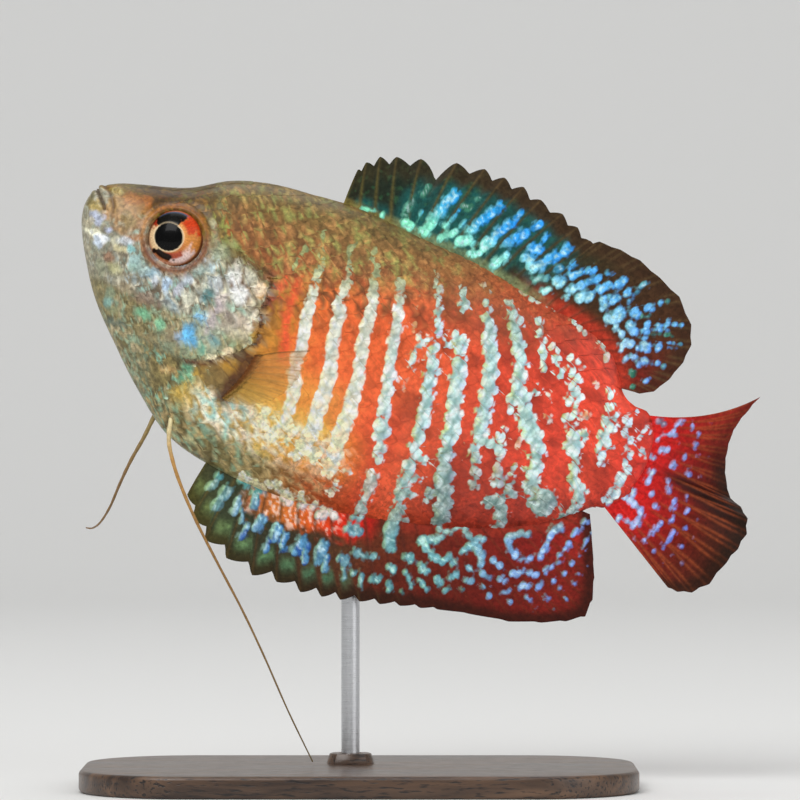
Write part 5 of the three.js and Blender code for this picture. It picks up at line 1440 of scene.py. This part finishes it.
def finished(mark, ground, found, fine, edge, fringe, dim=.3, dimFrom=2.4):
    # a mark is darker at its rim, brightest at its middle, and has a fringe along its front edge.
    # The ground is grainy and darker towards the fin's edge.
    inside, across = found[0], found[2]
    mark = tint(mark, shade(fringe), smooth(across, -.25, -.85) * .55)
    mark = tint(mark, mark * shade("b8dcff"), smooth(across, .3, .9) * .6)
    mark = tint(mark, shade("e4fcfc"), smooth(inside, .12, .42) * smooth(fine, .45, .75) * .45)
    mark = mark * (.66 + .4 * smooth(inside, -.02, .3) + .45 * (fine - .4))[..., None]
    return mark, ground * ((.72 + .42 * fine) * (1 - dim * smooth(edge, dimFrom, .5)))[..., None], inside


def dorsalPaint(grid, shape):
    # dark webs with turquoise to blue marks, olive rays, a pale green foot and a brown margin
    number, base, edge = grid["number"], grid["base"], grid["edge"]
    grain = grainAt(grid["places"], .55, 31)
    fine = grainAt(grid["places"], .28, 33)
    found = finMarks(dorsalMarks, grid, shape, .22, .05 + .05 * smooth(number, 7, 14))
    inside, strength = found[:2]
    colour = shadesAlong(number, "0 2a2c1c, 4 1c2c22, 9 202e26, 13 38321e, 19 4e2c1a, 21.5 742218, "
                                 "23 8a221c")
    glow = smooth(inside, -1.3, -.1) * smooth(number, 14, 11)
    rust = smooth(base, 2.4, .4) * smooth(number, 10, 13)
    rayTone = shadesAlong(number, "0 5c5428, 5 5c5630, 8 4c4426, 13 4a3a22, 18 4a2a1a, 23 7c2a1e")
    foot = smooth(base, 1, .2) * smooth(number, 15, 11.5) * smooth(number, 2, 4)
    margin = smooth(edge, 2.6, .9) * mix(.5, .9, smooth(number, 3, 7))
    colour = glaze(
        colour,
        ("1c6460", glow * (.4 + .6 * grain)),
        ("2f5a3a", smooth(grain + fine, 1.15, 1.5) * smooth(number, 15, 10) * .5),
        ("98321c", rust * .7),
        ("c43a26", smooth(base, 1.6, .1) * smooth(number, 12, 15) * .8),
        (rayTone, shape * np.where(grid["spiny"], .85, .55)),
        ("8c9c6c", foot * (.35 + .5 * fine)),
        ("8a7a3c", smooth(base, .9, .1) * smooth(number, 4.5, 2.5) * .7),
        (shadesAlong(number, "0 4c4628, 7 4a3824, 14 4c3420, 20 50301e, 23 66281a"), margin),
        ("7c6440", shape * margin * .45))
    low = shadesAlong(number, "4 8cecc4, 9 96ecd8, 13 a8e8e4, 17 a4dcf0, 23 aac8f4")
    high = shadesAlong(number, "4 38b4e0, 9 2c9cf0, 13 4cacf4, 17 6cb8f4, 23 7ca4ee")
    mark = tint(low, high, smooth(base / (base + edge + 1e-6), .14, .5))
    mark = tint(mark * 1.12, shade("3c7c64"), smooth(strength, .75, .3))
    return finished(mark, colour, found, fine, edge, "7cc8b0")


def dorsalSway(place, share):
    # a slow wave along the fin that grows with the square of the height
    return .5 * share ** 2 * np.sin(7.5 * place)


def analSway(place, share):
    # the same for the fin below
    return -.5 * share ** 2 * np.sin(6.5 * place + .6)


def tailSway(place, share):
    # the middle rays folded away to the right, the lower lobe swung to the left
    fold = bell(place, tail["foldAt"], tail["foldWidth"])
    return share ** 2 * (tail["foldDepth"] * fold + tail["lowerSwing"] * smooth(place, .5, .9))


makeFin("dorsal_fin_skin", dorsal, medianRays(dorsal), dorsalSway, dorsalPaint, "dorsal_fin")


def analPaint(grid, shape):
    # dark webs with blue streaks and green lobes in front, deep red with blue marks behind
    number, base, edge, f = grid["number"], grid["base"], grid["edge"], grid["f"]
    along = grid["places"][..., 0]
    grain = grainAt(grid["places"], .55, 51)
    fine = grainAt(grid["places"], .28, 53)
    found = finMarks(analMarks + bellyMarks, grid, shape, .15, .14 * smooth(along, 46, 40) + .04)
    colour = shadesAlong(along, "22 4a4a2c, 26 3c4430, 34 3a3626, 40 5c3822, 44 6c301c, 50 76261a, "
                                "58 84201a, 63 a82820, 66 90241c")
    warm = shadesAlong(along, "26 5f7a6a, 29 d87a44, 32 f08a3c, 35 f4702c, 38 f8401e, 40 f0281c, 43 9c1c14")
    warmShare = smooth(base + 1.6 * (grain - .5), 3.4, 1.4) * smooth(along, 43.5, 41) * smooth(along, 27, 29)
    lobe = smooth(np.abs(f - .5), .46, .2) * bell(edge, 1.9, .75) * smooth(number, 9.5, 8)
    rayTone = shadesAlong(along, "22 6c6434, 30 4c3a22, 40 54301e, 46 64281a, 58 782c1c")
    margin = smooth(edge, 1.9, .7)
    colour = glaze(
        colour,
        ("5a1a10", smooth(along, 41, 45) * smooth(base, 3, 6.5) * .5),
        ("ac3826", smooth(base, 1.5, .1) * smooth(along, 42, 46) * .75),
        (warm, warmShare),
        ("ffe6d4", smooth(fine, .52, .72) * warmShare * smooth(along, 40, 37) * .75),
        (rayTone, shape * .75),
        (shadesAlong(along, "22 5c5828, 30 42391e, 40 3a2816, 50 481e12, 66 4c1c12"), margin * .9),
        ("6c5430", shape * margin * smooth(along, 50, 44) * .4),
        (shadesAlong(along, "24 74824a, 30 6c9060, 38 4c7c5c"), lobe * (.5 + .5 * fine)))
    mark = shadesAlong(along, "24 9cb8a0, 28 8cb4c8, 34 5c9cd0, 42 78a8b0, 47 76b6bc, 52 7cb8c4, "
                              "57 8cb6ec, 64 90b0f8")
    blueHalf = smooth(along, 28, 30) * smooth(along, 42, 39) * smooth(base, 2, 3)
    mark = glaze(
        mark,
        ("9ce0b8", smooth(fine, .6, .8) * smooth(along, 56, 50) * smooth(along, 42, 46) * .6),
        ("f4dcd4", smooth(base, 1.3, .7) * smooth(along, 29.5, 31) * smooth(along, 39.5, 38)),
        ("7cc4c0", smooth(base, 1.3, .7) * smooth(along, 30.5, 29)),
        ("1848a4", smooth(grain, .45, .7) * blueHalf * smooth(base, 3, 4.6) * .8),
        ("a8e4f4", smooth(fine, .5, .7) * blueHalf * smooth(base, 4.2, 3.2) * .7),
        ("3f7c80", smooth(found[1], .8, .3) * .8),
        ("a4c4bc", smooth(base, 1.8, .3) * smooth(along, 38, 41) * .7))
    return finished(mark, colour, found, fine, edge, "a8cc84")


makeFin("anal_fin_skin", anal, medianRays(anal), analSway, analPaint, "anal_fin")


def tailPaint(grid, shape):
    # scarlet with pale blue marks at the root, brown towards the edge, and a painted shadow in the fold
    base, edge = grid["base"], grid["edge"]
    along, up = grid["places"][..., 0], grid["places"][..., 2]
    fine = grainAt(grid["places"], .3, 71)
    found = finMarks(tailMarks + stalkMarks, grid, shape, .12, 0)
    colour = shadesAlong(along, "63 d42622, 67 d8201e, 70 a81c1a, 73 74190f, 76 4c1c0f, 79 3c190d")
    # fold follows where the tail bends away; it carries a painted shadow
    fold = bell(up, mix(.1, -.7, smooth(along, 70, 77)), mix(.7, 1.6, smooth(along, 68, 76)))
    colour = glaze(
        colour,
        ("9c2c20", smooth(up, 3, 6) * smooth(along, 69, 73) * .75),
        ("5a2014", smooth(up, -5, -9) * .6),
        ("1c0a05", fold * smooth(along, 66.5, 71) * .92),
        ("a04c28", shape * smooth(base, 2, 5) * .55),
        ("332010", smooth(edge, 2.2, .6) * .6 * smooth(up, 6, 2)))
    mark = shadesAlong(along, "63 bccff4, 66 bcd0fc, 69 a4b4f4, 72 8498ec")
    mark = tint(mark, shade("7c5464"), smooth(found[1], .8, .3) * .8)
    return finished(mark, colour, found, fine, edge, "d8b0c8", .42, 2.8)


makeFin("tail_fin_skin", tail, tailFan(), tailSway, tailPaint, "caudal_fin")


# The clear pectoral fins: fans of rays in space, one on each side
pectoral = dict(
    roots=[(22.25, -6.6), (21.85, -11.5)],
    tips=[(28.4, 7.4, -2.9), (28.6, 8.3, -5.1), (28.15, 8.6, -7.2), (26.9, 8.5, -9.3), (24.9, 7.9, -10.8),
          (23.3, 6.6, -11.3)],
    out=4.6, rootOut=3.2, bow=.9, rays=11, between=12, steps=50, rayHalf=.1, webHalf=.03, tipHalf=.045,
    rootHalf=.2, rayWidth=.12, parting=.16, scallop=.03,
)


def makePectoral(name, side):
    # each ray is the quadratic curve of root, bowed middle and tip; ridges stand on both faces
    size = pectoral
    rows = (size["rays"] - 1) * size["between"] + 1
    place = np.linspace(0, 1, rows)
    flat = mix(np.array(size["roots"][0]), np.array(size["roots"][1]), place[:, None])
    root = np.stack((flat[:, 0], np.full(rows, side * size["rootOut"]), flat[:, 1]), -1)
    far = splineAt(size["tips"], place)
    f = (place * (size["rays"] - 1)) % 1
    scallop = size["scallop"] * (4 * f * (1 - f))
    tip = np.stack((far[:, 0], side * (size["out"] + far[:, 1]), far[:, 2]), -1)
    tip = mix(tip, root, scallop[:, None])
    middle = (root + tip) / 2 + np.array([-size["bow"], side * size["bow"], 0])
    share = np.linspace(0, 1, size["steps"])[None, :, None]
    places = curveAt(root[:, None], middle[:, None], tip[:, None], share)
    normal = unit(np.cross(np.gradient(places, axis=0), np.gradient(places, axis=1)))
    gap = np.linalg.norm(np.gradient(places, axis=0), axis=-1) * size["between"]
    share = share[..., 0] * np.ones(places.shape[:2])
    parting = size["parting"] * smooth(share, .5, .85)
    ray = ridgesAt(f[:, None], parting, gap, size["rayWidth"])
    half = size["webHalf"] + mix(size["rayHalf"], size["tipHalf"], share) * ray
    half = half + size["rootHalf"] * smooth(share, .36, .2)
    both = twoFaced(places - normal * half[..., None], places + normal * half[..., None])
    root = smooth(share, .34, .24)
    colour = np.broadcast_to(shade("c8a050"), places.shape)
    colour = glaze(
        colour,
        ("d89858", smooth(place, .6, .2)[:, None] * np.ones(share.shape)),
        ("8a6a38", np.clip(ray * .45 + smooth(place, .05, 0)[:, None], 0, 1)),
        ("5c3018", root * .9))
    cover = .26 + .24 * ray + .7 * root - .1 * smooth(share, .8, 1)
    makePiece("pectoral_web_" + name, toFrame(both), plateFaces(rows, size["steps"]), clearFinLook,
              "clear_fin", ["pectoral_fin_" + name], colours=dict(markColour=twoFaced(colour, colour)),
              values=dict(cover=np.clip(twoFaced(cover, cover), 0, 1)))


makePectoral("left", -1)
makePectoral("right", 1)
print("pectoral fins")


# The pelvic feelers: thin tapering threads, routes of (along, out, up)
feelerRoutes = dict(
    left=[(17.1, -1.2, -13.4), (17.4, -2, -15.6), (18.1, -2.8, -17.8), (19.4, -3.3, -19.7),
          (21.3, -3.7, -21.8), (24.3, -4.1, -24.6), (28.2, -4.4, -27.8), (32.8, -4.4, -31.5),
          (37, -4.1, -35.2), (41.5, -3.5, -39.4), (46.1, -2.7, -43.4)],
    right=[(15.8, 1, -13.4), (15.5, 1.7, -16), (15.3, 3.4, -18.8), (14.9, 6, -21.8), (14.7, 8.8, -24.6),
           (14.6, 11.8, -27.5), (14.2, 14.2, -29.6), (13.6, 15.9, -30.6), (12.9, 16.8, -30.9)],
)
feelerTones = dict(
    left="0 b9ae7c, 0.12 e0d2a0, 0.3 b98a4a, 0.6 8f6a38, 1 6f5f38",
    right="0 a89a66, 0.4 8f6d3c, 1 7a5a34")
feeler = dict(rootRadius=.3, tipRadius=.07, steps=220, sides=14)


def makeFeeler(name):
    # a circle carried along the route, its radius falling from root to tip
    share = np.linspace(0, 1, feeler["steps"])
    centre = splineAt(feelerRoutes[name], share)
    ahead = unit(np.gradient(centre, axis=0))
    first = unit(np.cross(ahead, np.array([0, 1, .2])))
    second = np.cross(ahead, first)
    turn = circle(feeler["sides"])
    radius = mix(feeler["rootRadius"], feeler["tipRadius"], share ** .8) * (1 + .05 * np.sin(share * 90))
    ring = first[:, None] * np.cos(turn)[None, :, None] + second[:, None] * np.sin(turn)[None, :, None]
    places = centre[:, None] + ring * radius[:, None, None]
    colour = np.broadcast_to(shadesAlong(share, feelerTones[name])[:, None], places.shape)
    poles = np.stack((centre[0], centre[-1] + ahead[-1] * .1))
    makeTube("feeler_thread_" + name, toFrame(places), toFrame(poles), feelerLook, "feeler",
             ["pelvic_feeler_" + name], colours=dict(markColour=colour))


makeFeeler("left")
makeFeeler("right")
print("feelers")


# The stand: a wooden plate with rounded ends and a low collar, and a steel rod
standWood = dict(length=60, width=36, height=2.4, corner=12, bevel=.5, around=240,
                 collarRadius=2.6, collarHeight=1.2, hole=1.05, holeFloor=.7)
standRod = dict(x=-1, y=3, radius=1, foot=.8, top=39, around=64)


def woodMaterial():
    # dark walnut: long noise stretched along the plate for the grain, with fine pores
    material, tree, shader = newMaterial("darkWalnut")
    grain = noiseAt(tree, objectPlace(tree, (60, 700, 500)), 1, 6, .6)
    pores = noiseAt(tree, objectPlace(tree, (500, 6000, 3000)), 1, 2)
    ramp = addNode(tree, "ShaderNodeValToRGB", {"Fac": grain})
    ramp.color_ramp.elements[0].position = .32
    ramp.color_ramp.elements[0].color = (.035, .017, .009, 1)
    ramp.color_ramp.elements[1].position = .7
    ramp.color_ramp.elements[1].color = (.16, .085, .045, 1)
    poreMask = ranged(tree, pores, .36, .46)
    colour = mixColour(tree, poreMask, (.012, .006, .004, 1), ramp.outputs["Color"])
    dress(tree, shader, colour, mathNode(tree, "MULTIPLY_ADD", grain, .25, .24), poreMask, .00004, .5)
    shader.inputs["Coat Weight"].default_value = .3
    shader.inputs["Coat Roughness"].default_value = .25
    return material


def steelMaterial():
    # brushed steel: fine rings round the rod in colour, roughness and height
    material, tree, shader = newMaterial("brushedSteel")
    rings = noiseAt(tree, objectPlace(tree, (400, 400, 12000)), 1, 3)
    colour = mixColour(tree, rings, (.46, .47, .49, 1), (.74, .75, .77, 1))
    dress(tree, shader, colour, mathNode(tree, "MULTIPLY_ADD", rings, .2, .2), rings, .00002, .4)
    shader.inputs["Metallic"].default_value = 1
    return material


def roundedOutline(turn, inset):
    # a rectangle with round corners: the corner's centre plus its radius, pushed out by the inset
    size = standWood
    corner = size["corner"] - inset
    x = np.sign(np.cos(turn)) * (size["length"] / 2 - size["corner"])
    y = np.sign(np.sin(turn)) * (size["width"] / 2 - size["corner"])
    return np.stack((x + corner * np.cos(turn), y + corner * np.sin(turn)), -1)


def atLevel(outline, level):
    # the points of a flat outline, or of several, at a height
    return np.concatenate((outline, np.full(outline.shape[:-1] + (1,), level)), -1)


def makeBase():
    # the outline carried over a profile of (inset, height), then rings down to the collar and its hole
    size = standWood
    quarter = size["around"] // 4
    turn = np.concatenate([np.linspace(k, k + 1, quarter) * math.pi / 2 for k in range(4)])
    turn = np.clip(turn + np.tile(np.linspace(1e-4, -1e-4, quarter), 4), 1e-4, 2 * math.pi - 1e-4)
    roll = np.linspace(0, math.pi / 2, 7)
    bevel, tall = size["bevel"], size["height"]
    inset = np.concatenate((bevel * (1 - np.sin(roll)), bevel * (1 - np.cos(roll))))
    level = np.concatenate((bevel * (1 - np.cos(roll)), tall - bevel * (1 - np.sin(roll))))
    rim = np.stack([atLevel(roundedOutline(turn, i), z) for i, z in zip(inset, level)])
    centre = np.array([standRod["x"], standRod["y"]])
    outer = rim[-1, :, :2]
    angle = np.arctan2(outer[:, 1] - centre[1], outer[:, 0] - centre[0])
    ray = np.stack((np.cos(angle), np.sin(angle)), -1)
    blend = np.linspace(0, 1, 8)[1:, None, None]
    wide, high, hole = size["collarRadius"], size["collarHeight"], size["hole"]
    foot = centre + ray * (wide + .25)
    inner = atLevel(mix(outer[None], foot[None], blend), tall)
    collar = [(wide + .02, tall + .06), (wide - .1, tall + .5 * high), (wide - .35, tall + .94 * high),
              (wide - .6, tall + high), (hole + .15, tall + high), (hole, tall + high - .12),
              (hole, size["holeFloor"])]
    rings = np.stack([atLevel(centre + ray * radius, level) for radius, level in collar])
    places = np.concatenate((rim, inner, rings))
    poles = np.array([[0, 0, 0], [centre[0], centre[1], size["holeFloor"]]])
    makeTube("stand_base_wood", places * millimetre, poles * millimetre, woodMaterial(), "base_wood",
             ["stand_base"], sharp=40)


def makeRod():
    # a circle carried up the rod, with a small chamfer at its foot; its top ends inside the flesh
    size = standRod
    turn = circle(size["around"])
    wide, foot, top = size["radius"], size["foot"], size["top"]
    profile = [(0, foot), (wide - .15, foot), (wide, foot + .15)]
    profile += [(wide, z) for z in np.linspace(foot + 1, top - .4, 24)]
    profile += [(wide * .8, top), (0, top + .05)]
    radius, level = np.array(profile).T
    ring = np.stack((np.cos(turn), np.sin(turn)), -1)
    centre = np.array([size["x"], size["y"]])
    places = np.stack([atLevel(centre + ring * r, z) for r, z in zip(radius[1:-1], level[1:-1])])
    poles = np.array([[*centre, level[0]], [*centre, level[-1]]])
    makeTube("stand_rod_steel", places * millimetre, poles * millimetre, steelMaterial(), "rod_steel",
             ["stand_rod"], sharp=40)


makeBase()
makeRod()
print("stand")


# The studio: a pale floor that curves up behind, soft lights, and the camera level with the fish
studio = dict(width=3, front=-1.6, back=.55, curve=.35, height=1.6, shade=(.8, .8, .79, 1), world=.34)
camera = dict(distance=.6, aimX=.00438, aimZ=.04192, sensor=36, frameWidth=.08649)


def makeBackdrop():
    # a floor, a quarter circle and a wall as one sheet
    size = studio
    turn = np.linspace(0, math.pi / 2, 24)
    back, curve = size["back"], size["curve"]
    profile = [(size["front"], 0)]
    profile += [(back + curve * math.sin(a), curve * (1 - math.cos(a))) for a in turn]
    profile += [(back + curve, size["height"])]
    sides = np.array([-size["width"], size["width"]])
    places = np.array([[(x, y, z) for x in sides] for y, z in profile]).reshape(-1, 3)
    mesh = bpy.data.meshes.new("backdrop")
    mesh.from_pydata(places.tolist(), [], gridFaces(len(profile), 2).tolist())
    mesh.shade_smooth()
    sheet = bpy.data.objects.new("backdrop", mesh)
    bpy.context.scene.collection.objects.link(sheet)
    material, _, shader = newMaterial("paleBackdrop")
    shader.inputs["Base Color"].default_value = size["shade"]
    shader.inputs["Roughness"].default_value = .9
    mesh.materials.append(material)


def addLight(name, place, aim, size, power):
    # a square soft light that points from its place to the aim
    data = bpy.data.lights.new(name, "AREA")
    data.shape = "SQUARE"
    data.size = size
    data.energy = power
    lamp = bpy.data.objects.new(name, data)
    ahead = np.array(aim) - np.array(place)
    yaw = math.atan2(ahead[0], -ahead[1])
    tilt = math.atan2(math.hypot(ahead[0], ahead[1]), -ahead[2])
    lamp.location = place
    lamp.rotation_euler = (tilt, 0, math.pi + yaw)
    bpy.context.scene.collection.objects.link(lamp)


makeBackdrop()
aim = (camera["aimX"], 0, camera["aimZ"])
addLight("keyLight", (-.35, -.65, .75), aim, .6, 5.6)
addLight("fillLight", (.7, -.55, .35), aim, .7, 2)
addLight("topLight", (.05, .15, .85), aim, .6, 2.2)

world = bpy.data.worlds.new("softRoom")
world.use_nodes = True
world.node_tree.nodes["Background"].inputs["Color"].default_value = (1, 1, 1, 1)
world.node_tree.nodes["Background"].inputs["Strength"].default_value = studio["world"]
bpy.context.scene.world = world
bpy.context.scene.view_settings.view_transform = "Standard"

lens = bpy.data.cameras.new("photoView")
lens.sensor_width = camera["sensor"]
lens.lens = camera["sensor"] * camera["distance"] / camera["frameWidth"]
lens.clip_start = .01
viewer = bpy.data.objects.new("photoView", lens)
viewer.location = (camera["aimX"], -camera["distance"], camera["aimZ"])
viewer.rotation_euler = (math.pi / 2, 0, 0)
bpy.context.scene.collection.objects.link(viewer)
bpy.context.scene.camera = viewer
print("studio")
